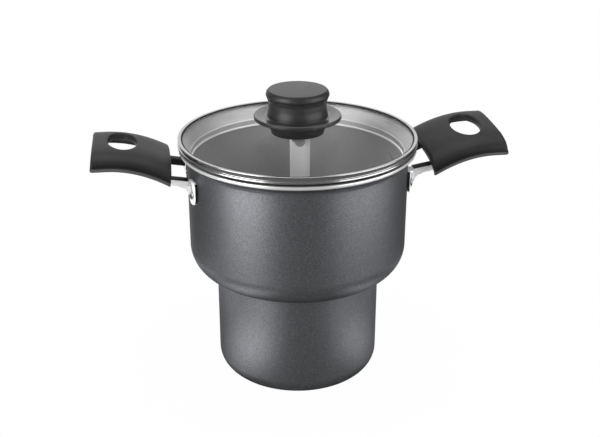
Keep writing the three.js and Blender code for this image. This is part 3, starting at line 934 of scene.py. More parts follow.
# Rings in the hollow: share of its height, and distance from the open inner end
HOLLOW_RINGS = ((0.72, 9.0 * MM), (0.55, 6.0 * MM), (0.38, 3.6 * MM), (0.2, 1.8 * MM), (0.0, 0.5 * MM))
HOLLOW_DRAFT = 2.4 * MM
HOLLOW_CORNER = 1.5 * MM
# Share of the skin's rise that the open inner end takes up, and how far in from the sides it fades
FAN_SHARE = 0.68
FAN_FADE = 4.0 * MM
# Largest share of a ring's half width that its corner takes up
CORNER_LIMIT = 0.45
# Waist over the bead: where it starts, and the shares over which it comes and goes
WAIST_FROM = 0.14
WAIST_IN = 0.12
WAIST_OUT = 0.5
# Painted light on the grip: a painted highlight on the bead, painted shade in the groove above it and a
# painted highlight on the hole's lower lip, and where the groove's shade lies
BEAD_HIGHLIGHT = 2.8
GROOVE_SHADE = 0.25
LIP_HIGHLIGHT = 2.2
GROOVE_AT = 0.29
GROOVE_SPREAD = 0.3


def grip_edge(run, grip):
    """Height of the lower edge, which rises from the pot and then gets level."""
    left = max(0.0, grip.level_from - run) / (grip.level_from - grip.inner_end)
    return grip.edge_height - grip.rise * left**2


def grip_tilt(run, grip):
    """Slope of the lower edge as an angle."""
    left = max(0.0, grip.level_from - run)
    return math.atan(2 * grip.rise * left / (grip.level_from - grip.inner_end) ** 2)


def grip_height(x, up, grip):
    """Height of a point that stands this far up from the lower edge, at right angles to it."""
    run = x
    for _ in range(SETTLING_STEPS):
        run = x + up * math.sin(grip_tilt(run, grip))
    return grip_edge(run, grip) + up * math.cos(grip_tilt(run, grip))


def grip_end(up, end, lean, grip):
    """Distance of a leaning end from the pot's axis, this far up from the lower edge."""
    x = end
    for _ in range(SETTLING_STEPS):
        x = end - math.tan(lean) * (grip_height(x, up, grip) - grip_edge(end, grip))
    return x


def arch(across, half, height, power):
    """Height of an arched section at a distance from its middle."""
    share_out = min(1.0, abs(across) / half)
    return height * (1 - share_out**power) ** (1 / power)


def crown(across, grip):
    """Height of the grip's skin over its lower edge."""
    return arch(across, grip.half_width, grip.height, CROWN_POWER)


def roof(across, grip):
    """Height of the hollow's ceiling over the lower edge."""
    return arch(across, grip.half_width - grip.side, grip.hollow, ROOF_POWER)


def rounding(distance, radius):
    """How far a rounded edge falls away at a distance from the edge."""
    left = max(0.0, radius - distance)
    return radius - math.sqrt(radius**2 - left**2)


def grip_plan(inner, outer, half, corner, corner_across):
    """Rectangle with rounded corners seen from above, the same count of points for every ring."""
    corners = [
        ((inner + corner, half - corner_across), 180, 90),
        ((outer - corner, half - corner_across), 90, 0),
        ((outer - corner, corner_across - half), 0, -90),
        ((inner + corner, corner_across - half), -90, -180),
    ]
    counts = [SIDE_POINTS, END_POINTS, SIDE_POINTS, END_POINTS]
    arcs = []
    for (x, y), start, end in corners:
        turns = arc((0, 0), 1.0, start, end, CORNER_POINTS)
        arcs.append([Vector((x + corner * a, y + corner_across * b)) for a, b in turns])
    plan = []
    for i, points in enumerate(arcs):
        plan += points
        following = arcs[(i + 1) % len(arcs)][0]
        for k in range(1, counts[i]):
            plan.append(points[-1].lerp(following, k / counts[i]))
    return plan


def grip_ring(grip, plan, up_at):
    """Places (distance, across, up) of a plan whose length runs from the inner to the outer end."""
    span = grip.outer_end - grip.inner_end
    ring = []
    for run, across in plan:
        up = up_at(run, across)
        inner = grip_end(up, grip.inner_end, grip.inner_lean, grip)
        outer = grip_end(up, grip.outer_end, grip.outer_lean, grip)
        ring.append((inner + (outer - inner) * run / span, across, up))
    return ring


def skin_ring(grip, half, up, inset=0.0):
    """Ring round the skin at one height, drawn in at the outer end and fanned over the open inner end."""
    span = grip.outer_end - grip.inner_end
    steep = (half / grip.half_width) ** 2 / grip.half_width
    level = (up / grip.height) ** 2 / grip.height
    corner = grip.round_edge
    corner_across = min(half * CORNER_LIMIT, corner * math.hypot(steep, level) / steep)
    fan = FAN_SHARE * up / (CREST_SHARE * grip.height)
    least = 0.01 * MM
    start = min(1.0, up / max(crown(half, grip), least))

    def up_at(run, across):
        side_up = min(up, crown(across, grip))
        low = roof(across, grip)
        share_up = fan + (start - fan) * max(0.0, 1 - (half - abs(across)) / FAN_FADE)
        end_up = low + (crown(across, grip) - low) * share_up
        at_end = max(0.0, 1 - run / corner)
        return side_up + (end_up - side_up) * at_end

    return grip_ring(grip, grip_plan(0.0, span - inset, half, corner, corner_across), up_at)


def eye_ring(grip, grow, towards, up_at):
    """Ring round the oval hole, point for point with another ring."""
    ring = []
    for x, y, _ in towards:
        turn = math.atan2(y / grip.eye_across, (x - grip.eye_distance) / grip.eye_radial)
        across = (grip.eye_across + grow) * math.sin(turn)
        ring.append((grip.eye_distance + (grip.eye_radial + grow) * math.cos(turn), across, up_at(across)))
    return ring


def spanning_rings(first, last, shares, up_at):
    """Rings between two others, laid on a surface."""
    rings = []
    for t in shares:
        ring = []
        for start, end in zip(first, last):
            x = start[0] + (end[0] - start[0]) * t
            across = start[1] + (end[1] - start[1]) * t
            ring.append((x, across, up_at(x, across)))
        rings.append(ring)
    return rings


def grip_outside(grip):
    """Rings from the lower edge up the skin and over the crown to the hole."""
    edge = grip.round_edge
    half = grip.half_width
    rings = []
    for a, b in arc((0, 0), 1.0, 90, -30, BEAD_RINGS - 1):
        across = half - edge * (1 - a)
        up = edge * (1 - b)
        inset = max(0.0, half - across) if up < edge else 0.0
        rings.append(skin_ring(grip, across, up, inset))
    for share_up in SKIN_SHARES:
        up = share_up * grip.height
        coming = min(1.0, (share_up - WAIST_FROM) / WAIST_IN)
        going = min(1.0, (CREST_SHARE - share_up) / WAIST_OUT)
        waist = grip.bead * going * coming
        rings.append(skin_ring(grip, arch(up, grip.height, half, CROWN_POWER) - waist, up))

    def over_crown(x, across):
        up = crown(across, grip)
        inner = x - grip_end(up, grip.inner_end, grip.inner_lean, grip)
        outer = grip_end(up, grip.outer_end, grip.outer_lean, grip) - x
        return up - rounding(max(0.0, min(inner, outer)), edge)

    eye_edge = eye_ring(grip, edge, rings[-1], lambda across: crown(across, grip))
    shares = [(i / CROWN_RINGS) ** CROWN_CROWDING for i in range(1, CROWN_RINGS + 1)]
    return rings + spanning_rings(rings[-1], eye_edge, shares, over_crown)


def grip_inside(grip, crest):
    """Rings down through the hole, under the crown and out to the lower edge."""
    edge = grip.round_edge
    span = grip.outer_end - grip.inner_end
    rings = []
    for i in range(HOLE_EDGE_RINGS):
        turn = math.pi / 2 * (i + 1) / HOLE_EDGE_RINGS
        grow = edge * (1 - math.sin(turn))
        sink = edge * (1 - math.cos(turn))
        rings.append(eye_ring(grip, grow, crest, lambda across: crown(across, grip) - sink))
    small = edge / 2
    for i in range(HOLE_LIP_RINGS):
        turn = math.pi / 2 * i / (HOLE_LIP_RINGS - 1)
        grow = small * (1 - math.cos(turn))
        lift = small * (1 - math.sin(turn))
        rings.append(eye_ring(grip, grow, crest, lambda across: roof(across, grip) + lift))
    hollow_half = grip.half_width - grip.side
    hollow = []
    for share_up, inner_gap in HOLLOW_RINGS:
        up = share_up * grip.hollow
        half = arch(up, grip.hollow, hollow_half, ROOF_POWER)
        outer = span - grip.end_wall - share_up * HOLLOW_DRAFT
        plan = grip_plan(inner_gap, outer, half, HOLLOW_CORNER, HOLLOW_CORNER)

        def up_at(run, across):
            return roof(across, grip) if run < span / 2 else up

        hollow.append(grip_ring(grip, plan, up_at))
    shares = [i / UNDER_RINGS for i in range(1, UNDER_RINGS)]
    under = spanning_rings(rings[-1], hollow[0], shares, lambda x, across: roof(across, grip))
    return rings + under + hollow


def grip_painted_light(outside, inside):
    """Painted light of each ring: a painted highlight on the bead, painted shade in the groove above it, and
    a painted highlight on the lip of the hole.
    """
    painted_light_by_ring = [BEAD_HIGHLIGHT] * BEAD_RINGS
    for share_up in SKIN_SHARES:
        depth = max(0.0, 1 - abs(share_up - GROOVE_AT) / GROOVE_SPREAD)
        painted_light_by_ring.append(1 + (GROOVE_SHADE - 1) * depth)
    painted_light_by_ring += [1.0] * (outside - len(painted_light_by_ring) + HOLE_EDGE_RINGS)
    painted_light_by_ring += [LIP_HIGHLIGHT] * HOLE_LIP_RINGS
    painted_light_by_ring += [1.0] * (outside + inside - len(painted_light_by_ring))
    return painted_light_by_ring


def screw_boss(grip, bracket, pot):
    """Boss under the crown that takes the grip's screw."""
    bore = bracket.screw_shank + GAP
    outline = rounded(
        [
            (bore, GAP, 0),
            (grip.boss, GAP, 0.4 * MM),
            (grip.boss, grip.boss_height, 0),
            (bore, grip.boss_height, 0),
        ],
        closed=True,
    )
    mesh = revolve("screw_boss", outline, SMALL_ROUND)
    mesh.transform(on_plate(bracket, pot))
    return mesh


def grip_mesh(grip, bracket, pot):
    """Right grip: the shell rolled a little on its bracket, its boss, and the painted light and shade of
    every ring.
    """
    outside = grip_outside(grip)
    inside = grip_inside(grip, outside[-1])
    rings = outside + inside
    build = bmesh.new()
    places = [[(x, y, grip_height(x, up, grip)) for x, y, up in ring] for ring in rings]
    loft(build, places, close_loop=True)
    centre = Matrix.Translation((0, 0, grip.edge_height))
    roll = centre @ Matrix.Rotation(grip.roll, 4, "X") @ centre.inverted()
    bmesh.ops.transform(build, matrix=roll, verts=build.verts)
    build.from_mesh(screw_boss(grip, bracket, pot))
    shade = build.verts.layers.float.new(PAINTED_LIGHT)
    painted_light_by_ring = grip_painted_light(len(outside), len(inside))
    for i, vert in enumerate(build.verts):
        ring = i // len(rings[0])
        vert[shade] = painted_light_by_ring[ring] if ring < len(painted_light_by_ring) else 1.0
    return finished(build, "right_handle")


class STEAMER_OT_grips(bpy.types.Operator):
    """Moulded side grips: arched shells with turned-down sides, an oval hole and a screw boss"""

    bl_idname = "steamer.grips"
    bl_label = "Grips"

    def execute(self, context):
        mesh = grip_mesh(settings("steamer_grip"), settings("steamer_bracket"), settings("steamer_pot"))
        # The grips' plastic takes the painted light and shade that the mesh carries
        plastic = black_plastic("grip_plastic", settings("steamer_finish").grip, gloss=0.2, with_painted_light=True)
        for side, shape in (("right", mesh), ("left", half_turned(mesh, "left_handle"))):
            handle = new_piece(f"{side}_handle", shape, [plastic])
            settle(handle, "pot", "grip_plastic", f"{side}_grip")
        return {"FINISHED"}


# Brackets

def arm_top(x, bracket, pot):
    """Height of the arms' top, which rises slowly from the wall and faster inside the grip."""
    inside = max(0.0, x - bracket.knee)
    outside = x - pot.bowl_radius - inside
    return bracket.wall_height + bracket.slope * outside + bracket.plate_slope * inside


def on_plate(bracket, pot):
    """Move that takes a piece built on the origin to the middle of the bracket's sloping plate."""
    x = bracket.screw_distance
    tilt = Matrix.Rotation(-math.atan(bracket.plate_slope), 4, "Y")
    return Matrix.Translation((x, 0, arm_top(x, bracket, pot))) @ tilt


def swept_bar(build, section, stations, bracket, pot):
    """Bar whose section (across, up from the arms' top) follows the line of the arms."""
    rings = []
    for x in stations:
        rings.append([Vector((x, across, arm_top(x, bracket, pot) + up)) for across, up in section])
    loft(build, rings)


def foot_outline(bracket):
    """Half widths and heights up a foot: round tip, straight sides and a narrower neck."""
    half = bracket.foot_width / 2
    low = bracket.foot_low
    top = bracket.wall_height
    neck = 2.5 * MM
    rows = []
    for degrees in range(10, 91, 8):
        turn = math.radians(degrees)
        rows.append((half * math.sin(turn), low + half * (1 - math.cos(turn))))
    straight = 6
    for i in range(1, straight + 1):
        rows.append((half, low + half + (top - neck - low - half) * i / straight))
    return rows + [(half - 0.7 * MM, top - 0.8 * MM), (half - neck, top)]


def foot_tab(build, side, bracket, pot):
    """Foot bent to the wall: a tab with a round tip."""
    inner = pot.bowl_radius + GAP
    columns = 13
    front = []
    back = []
    for reach, height in foot_outline(bracket):
        outer_row = []
        inner_row = []
        for i in range(columns):
            across = side * bracket.foot_offset + reach * (2 * i / (columns - 1) - 1)
            turn = across / inner
            spot = Vector((math.cos(turn), math.sin(turn), 0))
            lift = Vector((0, 0, height))
            outer_row.append(build.verts.new(spot * (inner + bracket.sheet) + lift))
            inner_row.append(build.verts.new(spot * inner + lift))
        front.append(outer_row)
        back.append(inner_row)
    last = len(front) - 1
    for i in range(last):
        for k in range(columns - 1):
            build.faces.new((front[i][k], front[i][k + 1], front[i + 1][k + 1], front[i + 1][k]))
            build.faces.new((back[i][k], back[i + 1][k], back[i + 1][k + 1], back[i][k + 1]))
        for k in (0, columns - 1):
            build.faces.new((front[i][k], front[i + 1][k], back[i + 1][k], back[i][k]))
    for i in (0, last):
        for k in range(columns - 1):
            build.faces.new((front[i][k], front[i][k + 1], back[i][k + 1], back[i][k]))


def bracket_mesh(bracket, pot):
    """Right bracket: two channel arms with feet and webs, joined by the plate inside the grip."""
    build = bmesh.new()
    half = bracket.width / 2
    sheet = bracket.sheet
    height = bracket.height
    inner = pot.bowl_radius + 0.5 * MM
    knee = bracket.knee
    bend = 3 * MM
    stations = [inner, inner + 4 * MM, knee - bend, knee, knee + bend, bracket.end]
    for side in (-1, 1):
        middle = side * bracket.offset
        channel = [
            (middle - half, -height),
            (middle - half, 0),
            (middle + half, 0),
            (middle + half, -height),
            (middle + half - sheet, -height),
            (middle + half - sheet, -sheet),
            (middle - half + sheet, -sheet),
            (middle - half + sheet, -height),
        ]
        swept_bar(build, channel, stations, bracket, pot)
        foot_tab(build, side, bracket, pot)
        gusset(build, middle + side * (half - sheet / 2), bracket, pot)
    sunk = 0.05 * MM
    offset = bracket.offset
    plate = [(-offset, -sheet), (-offset, -sunk), (offset, -sunk), (offset, -sheet)]
    swept_bar(build, plate, [bracket.plate_in, bracket.end - 0.1 * MM], bracket, pot)
    return finished(build, "right_support")


def gusset(build, across, bracket, pot):
    """Web that carries an arm's outer side down into its foot with a hollow curve."""
    reach = 5.0 * MM
    overlap = 0.5 * MM
    inner = pot.bowl_radius - 1.0 * MM
    x = inner + 2.0 * MM
    low = arm_top(x, bracket, pot) - bracket.height
    curve = arc((x + reach, low - reach), reach, 90, 180, 8)
    outline = [(inner, low + overlap), (x + reach, low + overlap)] + curve + [(inner, low - reach)]
    half = bracket.sheet / 2 - 0.05 * MM
    loft(build, [[Vector((px, across + offset, pz)) for px, pz in outline] for offset in (-half, half)])


# Part of a normal above which a face of an arm or the edge of a foot is painted black as shade
ARM_DARK = 0.4
FOOT_DARK = 0.7


def is_painted_shade(face, bracket, pot):
    """Whether a face is one of the arms' upper or inner faces, or an edge of a foot, which are painted black
    as shade.
    """
    arms_from = pot.bowl_radius + 2.5 * MM
    feet_radius = pot.bowl_radius + bracket.sheet + 0.5 * MM
    inwards = -face.normal.y * math.copysign(1.0, face.center.y)
    on_arm = abs(face.center.x) > arms_from and max(face.normal.z, inwards) > ARM_DARK
    on_foot_edge = face.center.xy.length < feet_radius and abs(face.normal.y) > FOOT_DARK
    return on_arm or on_foot_edge


class STEAMER_OT_brackets(bpy.types.Operator):
    """Steel brackets: channel arms, riveted feet on the wall and the plate inside each grip"""

    bl_idname = "steamer.brackets"
    bl_label = "Brackets"

    def execute(self, context):
        bracket = settings("steamer_bracket")
        pot = settings("steamer_pot")
        rolled = (1.0, 1.0, 8.0)
        # The flanks are painted near white as a painted reflection of the backdrop; the arms' upper and
        # inner faces and the feet's edges are black painted shade
        bright = brushed_metal("bracket_painted_reflection", roughness=0.45, streaks=rolled, metallic=0.0, bright=1.33)
        finishes = [bright, painted_shade_black("bracket_painted_shade")]
        mesh = bracket_mesh(bracket, pot)
        for side, shape in (("right", mesh), ("left", half_turned(mesh, "left_support"))):
            support = new_piece(f"{side}_support", shape, finishes)
            bevel = support.modifiers.new("edges", "BEVEL")
            bevel.width = 0.3 * MM
            bevel.segments = 2
            bevel.limit_method = "ANGLE"
            freeze(support)
            smooth(support.data)
            finish_faces(support.data, lambda face: is_painted_shade(face, bracket, pot))
            settle(support, "pot", "bracket_steel", f"{side}_bracket")
        return {"FINISHED"}


# Copies made by Geometry Nodes

class Tree:
    """Short hand for building one Geometry Nodes tree with named inputs."""

    def __init__(self, name, inputs):
        self.tree = bpy.data.node_groups.new(name, "GeometryNodeTree")
        self.identifiers = {}
        for label, kind in inputs:
            socket = self.tree.interface.new_socket(name=label, in_out="INPUT", socket_type=kind)
            self.identifiers[label] = socket.identifier
        self.tree.interface.new_socket(name="Geometry", in_out="OUTPUT", socket_type="NodeSocketGeometry")
        self.inputs = self.add("NodeGroupInput").outputs

    def add(self, kind, links=(), **values):
        node = self.tree.nodes.new(kind)
        for key, value in values.items():
            setattr(node, key, value)
        for key, source in links:
            if hasattr(source, "is_output"):
                self.tree.links.new(source, node.inputs[key])
            else:
                node.inputs[key].default_value = source
        return node

    def math(self, operation, first, second):
        links = ((0, first), (1, second))
        return self.add("ShaderNodeMath", links, operation=operation).outputs[0]

    def end(self, geometry, material):
        real = self.add("GeometryNodeRealizeInstances", (("Geometry", geometry),))
        painted = self.add("GeometryNodeSetMaterial", (("Geometry", real.outputs[0]),))
        self.tree.links.new(material, painted.inputs["Material"])
        self.add("NodeGroupOutput", ((0, painted.outputs[0]),))

    def make(self, name, values):
        """Plain mesh of the tree's result with these named inputs."""
        carrier = bpy.data.objects.new(name, bpy.data.meshes.new(name))
        bpy.context.scene.collection.objects.link(carrier)
        modifier = carrier.modifiers.new(name, "NODES")
        modifier.node_group = self.tree
        for label, value in values.items():
            modifier[self.identifiers[label]] = value
        freeze(carrier)
        smooth(carrier.data)
        return carrier


def copies_round_pot():
    """Tree that sets copies of a piece on both sides of the pot, spread from the grips' middle."""
    tree = Tree(
        "copies_round_pot",
        [
            ("Piece", "NodeSocketObject"),
            ("Count", "NodeSocketInt"),
            ("Spread", "NodeSocketFloat"),
            ("Material", "NodeSocketMaterial"),
        ],
    )
    points = tree.add("GeometryNodePoints", (("Count", tree.inputs["Count"]),))
    index = tree.add("GeometryNodeInputIndex").outputs[0]
    side = tree.math("MODULO", index, 2.0)
    row = tree.math("FLOOR", tree.math("DIVIDE", index, 2.0), 0.0)
    sign = tree.math("SUBTRACT", tree.math("MULTIPLY", row, 2.0), 1.0)
    half_turn = tree.math("MULTIPLY", side, math.pi)
    turn = tree.math("ADD", half_turn, tree.math("MULTIPLY", sign, tree.inputs["Spread"]))
    rotation = tree.add("ShaderNodeCombineXYZ", (("Z", turn),)).outputs[0]
    source = (("Object", tree.inputs["Piece"]),)
    piece = tree.add("GeometryNodeObjectInfo", source, transform_space="ORIGINAL")
    copies = tree.add(
        "GeometryNodeInstanceOnPoints",
        (("Points", points.outputs[0]), ("Instance", piece.outputs["Geometry"]), ("Rotation", rotation)),
    )
    tree.end(copies.outputs[0], tree.inputs["Material"])
    return tree


def rivet_outline(bracket, pot):
    """Outline of a rivet along its own axis, from the flat inner head to the domed outer one."""
    head_in = pot.bowl_radius - pot.wall - GAP
    head_out = pot.bowl_radius + bracket.sheet + 2 * GAP
    radius = bracket.rivet_head
    shank = bracket.rivet_shank
    back = head_in - 0.5 * MM
    outline = rounded([(0, back, 0), (radius, back, 0.3 * MM), (radius, head_in, 0)])
    outline += [(shank, head_in), (shank, head_out)]
    outline += rounded(
        [
            (radius, head_out, 0),
            (radius, head_out + 0.5 * MM, 0.4 * MM),
            (radius - 1.3 * MM, head_out + 1.1 * MM, 1.5 * MM),
            (0, head_out + 1.2 * MM, 0),
        ]
    )
    return outline


class STEAMER_OT_rivets(bpy.types.Operator):
    """Rivets through the bracket feet and the pot's wall"""

    bl_idname = "steamer.rivets"
    bl_label = "Rivets"

    def execute(self, context):
        bracket = settings("steamer_bracket")
        pot = settings("steamer_pot")
        mesh = revolve("rivet_pattern", rivet_outline(bracket, pot), SMALL_ROUND)
        lay_out = Matrix.Translation((0, 0, bracket.rivet_height)) @ Matrix.Rotation(math.pi / 2, 4, "Y")
        mesh.transform(lay_out)
        steel = polished_steel("rivet_steel", roughness=0.2)
        pattern = new_piece("rivet_pattern", mesh, [steel])
        spread = math.asin(bracket.foot_offset / pot.bowl_radius)
        values = {"Piece": pattern, "Count": 4, "Spread": spread, "Material": steel}
        rivets = copies_round_pot().make("foot_rivets", values)
        bpy.data.objects.remove(pattern)
        rivets.data.materials.append(inner_coating("rivet_coating"))
        for face in rivets.data.polygons:
            if face.center.xy.length < pot.bowl_radius - pot.wall:
                face.material_index = 1
        nodes = [f"{side}_rivet_{place}" for side in ("right", "left") for place in ("far", "near")]
        settle(rivets, "pot", "fastener_steel", *nodes)
        return {"FINISHED"}


def screw_mesh(name, head, shank, under, tip):
    """Pan-head screw standing on the origin, its head below, with a cross recess."""
    head_height = 2.2 * MM
    recess_depth = 1 * MM
    low = under - head_height
    outline = rounded([(0, low, 0), (head, low, 1.1 * MM), (head, under, 0.2 * MM), (shank, under, 0)])
    outline += [(shank, tip - 0.4 * MM), (0, tip)]
    body = new_piece(name, revolve(name, outline, SMALL_ROUND), [])
    cutter_build = bmesh.new()
    size = Matrix.Diagonal((head * 1.1, head * 0.26, 2 * recess_depth, 1))
    for turn in (0, math.pi / 2):
        place = Matrix.Translation((0, 0, low)) @ Matrix.Rotation(turn, 4, "Z") @ size
        bmesh.ops.create_cube(cutter_build, size=1.0, matrix=place)
    cutter = new_piece("recess", finished(cutter_build, "recess"), [])
    cut = body.modifiers.new("recess", "BOOLEAN")
    cut.operation = "DIFFERENCE"
    cut.object = cutter
    cut.solver = "EXACT"
    cut.use_self = True
    freeze(body)
    bpy.data.objects.remove(cutter)
    return body


class STEAMER_OT_fasteners(bpy.types.Operator):
    """Grip screws under the bracket plates, and the knob's screw, washer and gasket"""

    bl_idname = "steamer.fasteners"
    bl_label = "Fasteners"

    def execute(self, context):
        bracket = settings("steamer_bracket")
        pot = settings("steamer_pot")
        knob = settings("steamer_knob")
        steel = polished_steel("screw_steel", roughness=0.22)
        under = -bracket.sheet - GAP
        tip = 4.0 * MM
        pattern = screw_mesh("grip_screw_pattern", bracket.screw_head, bracket.screw_shank, under, tip)
        pattern.data.transform(on_plate(bracket, pot))
        values = {"Piece": pattern, "Count": 2, "Spread": 0.0, "Material": steel}
        screws = copies_round_pot().make("grip_screws", values)
        bpy.data.objects.remove(pattern)
        settle(screws, "pot", "fastener_steel", "right_grip_screw", "left_grip_screw")
        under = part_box("knob_washer")[0].z - GAP
        tip = knob.parting + 2.2 * MM
        knob_screw = screw_mesh("lid_screw", knob.screw_head, knob.screw, under, tip)
        knob_screw.data.materials.append(steel)
        smooth(knob_screw.data)
        settle(knob_screw, "lid", "fastener_steel", "knob_screw")
        for node, material in (("knob_washer", steel), ("knob_gasket", gasket_rubber())):
            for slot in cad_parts[node].material_slots:
                slot.material = material
        return {"FINISHED"}


# Steamer plate

def perforated_disc():
    """Tree that punches three rings of round holes through a flat disc."""
    tree = Tree(
        "perforated_disc",
        [
            ("Radius", "NodeSocketFloat"),
            ("Thickness", "NodeSocketFloat"),
            ("Hole", "NodeSocketFloat"),
            ("Pin", "NodeSocketFloat"),
            ("Ring radius", "NodeSocketFloat"),
            ("Ring step", "NodeSocketFloat"),
            ("Inner holes", "NodeSocketInt"),
            ("Middle holes", "NodeSocketInt"),
            ("Outer holes", "NodeSocketInt"),
            ("Material", "NodeSocketMaterial"),
        ],
    )

    def circle(radius, resolution):
        node = tree.add("GeometryNodeCurvePrimitiveCircle", (("Radius", radius), ("Resolution", resolution)))
        return node.outputs["Curve"]

    outlines = [circle(tree.inputs["Radius"], DISC_ROUND), circle(tree.inputs["Pin"], SMALL_ROUND)]
    hole = circle(tree.inputs["Hole"], HOLE_ROUND)
    for i, label in enumerate(("Inner holes", "Middle holes", "Outer holes")):
        offset = tree.math("MULTIPLY", tree.inputs["Ring step"], float(i))
        ring = circle(tree.math("ADD", tree.inputs["Ring radius"], offset), tree.inputs[label])
        half_step = tree.math("DIVIDE", math.pi, tree.inputs[label])
        turn = tree.add("ShaderNodeCombineXYZ", (("Z", half_step),)).outputs[0]
        turned = tree.add("GeometryNodeTransform", (("Geometry", ring), ("Rotation", turn)))
        places = (("Points", turned.outputs[0]), ("Instance", hole))
        holes = tree.add("GeometryNodeInstanceOnPoints", places)
        real = tree.add("GeometryNodeRealizeInstances", (("Geometry", holes.outputs[0]),))
        outlines.append(real.outputs[0])
    joined = tree.add("GeometryNodeJoinGeometry")
    for outline in outlines:
        tree.tree.links.new(outline, joined.inputs[0])
    sheet = tree.add("GeometryNodeFillCurve", (("Curve", joined.outputs[0]),)).outputs[0]
    raised = tree.add(
        "GeometryNodeExtrudeMesh",
        (("Mesh", sheet), ("Offset Scale", tree.inputs["Thickness"]), ("Individual", False)),
    )
    under = tree.add("GeometryNodeFlipFaces", (("Mesh", sheet),))
    both = tree.add("GeometryNodeJoinGeometry")
    for part in (raised.outputs["Mesh"], under.outputs[0]):
        tree.tree.links.new(part, both.inputs[0])
    welded = tree.add("GeometryNodeMergeByDistance", (("Geometry", both.outputs[0]), ("Distance", WELD)))
    tree.end(welded.outputs[0], tree.inputs["Material"])
    return tree


def plate_flat(sizes):
    """Radius of the plate's flat part, inside its upturned rim."""
    return sizes.radius - 2.6 * MM


def plate_rim_outline(sizes):
    """Outline of the rim that turns up round the plate."""
    flat = plate_flat(sizes)
    low = sizes.bottom
    high = low + sizes.sheet
    curl = low + 2.6 * MM
    return rounded(
        [
            (flat, low, 0),
            (sizes.radius - 0.6 * MM, low, 1.6 * MM),
            (sizes.radius + 0.5 * MM, curl, 0.4 * MM),
            (sizes.radius - 0.7 * MM, curl, 0.4 * MM),
            (sizes.radius - 1.6 * MM, high, 0.8 * MM),
            (flat, high, 0),
        ],
        closed=True,
    )


def strip_pin_outline(sizes):
    """Outline of the rivet through the plate and the strip's foot."""
    head = sizes.pin_head
    plate_low = sizes.bottom - GAP
    strip_top = sizes.bottom + 2 * sizes.sheet + 2 * GAP
    low = sizes.bottom - 1.5 * MM
    outline = rounded([(0, low, 0), (head, low, 0.5 * MM), (head, plate_low, 0)])
    outline += [(sizes.pin, plate_low), (sizes.pin, strip_top)]
    outline += rounded(
        [(head, strip_top, 0), (head, strip_top + 1.2 * MM, 1.1 * MM), (0, strip_top + 1.4 * MM, 0)]
    )
    return outline


class STEAMER_OT_plate(bpy.types.Operator):
    """Perforated steamer plate with an upturned rim, and the rivet at its middle"""

    bl_idname = "steamer.plate"
    bl_label = "Steamer plate"

    def execute(self, context):
        sizes = settings("steamer_plate")
        aluminium = brushed_metal("plate_aluminium", roughness=0.34, streaks=(1.0, 12.0, 1.0))
        values = {
            "Radius": plate_flat(sizes),
            "Thickness": sizes.sheet,
            "Hole": sizes.hole,
            "Pin": sizes.pin + GAP,
            "Ring radius": sizes.inner_ring,
            "Ring step": sizes.ring_step,
            "Inner holes": sizes.inner_holes,
            "Middle holes": sizes.middle_holes,
            "Outer holes": sizes.outer_holes,
            "Material": aluminium,
        }
        plate = perforated_disc().make("perforated_plate", values)
        plate.data.transform(Matrix.Translation((0, 0, sizes.bottom)))
        settle(plate, "steamer", "plate_aluminium", "steamer_plate")
        rim_mesh = revolve("plate_rim", plate_rim_outline(sizes), DISC_ROUND)
        settle(new_piece("plate_rim", rim_mesh, [aluminium]), "steamer", "plate_aluminium", "steamer_plate")
        pin_mesh = revolve("strip_pin", strip_pin_outline(sizes), SMALL_ROUND)
        settle(new_piece("strip_pin", pin_mesh, [aluminium]), "steamer", "plate_aluminium", "strip_rivet")
        return {"FINISHED"}


def strip_blank(sizes, flat_length, foot_length):
    """Flat blank of the lift strip with its slot and rivet hole, cut from a filled curve."""
    half = sizes.strip_width / 2
    curve = bpy.data.curves.new("strip_blank", "CURVE")
    curve.dimensions = "2D"
    curve.fill_mode = "BOTH"
    edge = 0.2 * MM
    curve.extrude = sizes.sheet / 2 - edge
    curve.bevel_depth = edge
    curve.bevel_resolution = 2
    curve.offset = -edge
    upright_base = flat_length - (sizes.strip_top - sizes.slot_low)
    slot_top = flat_length - (sizes.strip_top - sizes.slot_high)
    corner = 2.5 * MM
    outer = rounded(
        [(-half, 0, corner), (half, 0, corner), (half, flat_length, corner), (-half, flat_length, corner)],
        closed=True,
    )
    slot_low = upright_base + sizes.slot_half
    slot = arc((0, slot_low), sizes.slot_half, 180, 360, 16)
    slot += [(sizes.slot_half, slot_top), (-sizes.slot_half, slot_top)]
    hole = arc((0, foot_length), sizes.pin + GAP, 0, 345, 23)
    for outline in (outer, slot, hole):
        spline = curve.splines.new("POLY")
        spline.points.add(len(outline) - 1)
        for point, (x, y) in zip(spline.points, outline):
            point.co = (x, y, 0, 1)
        spline.use_cyclic_u = True
    piece = bpy.data.objects.new("strip_blank", curve)
    bpy.context.scene.collection.objects.link(piece)
    mesh = bpy.data.meshes.new_from_object(piece.evaluated_get(bpy.context.evaluated_depsgraph_get()))
    bpy.data.objects.remove(piece)
    return mesh


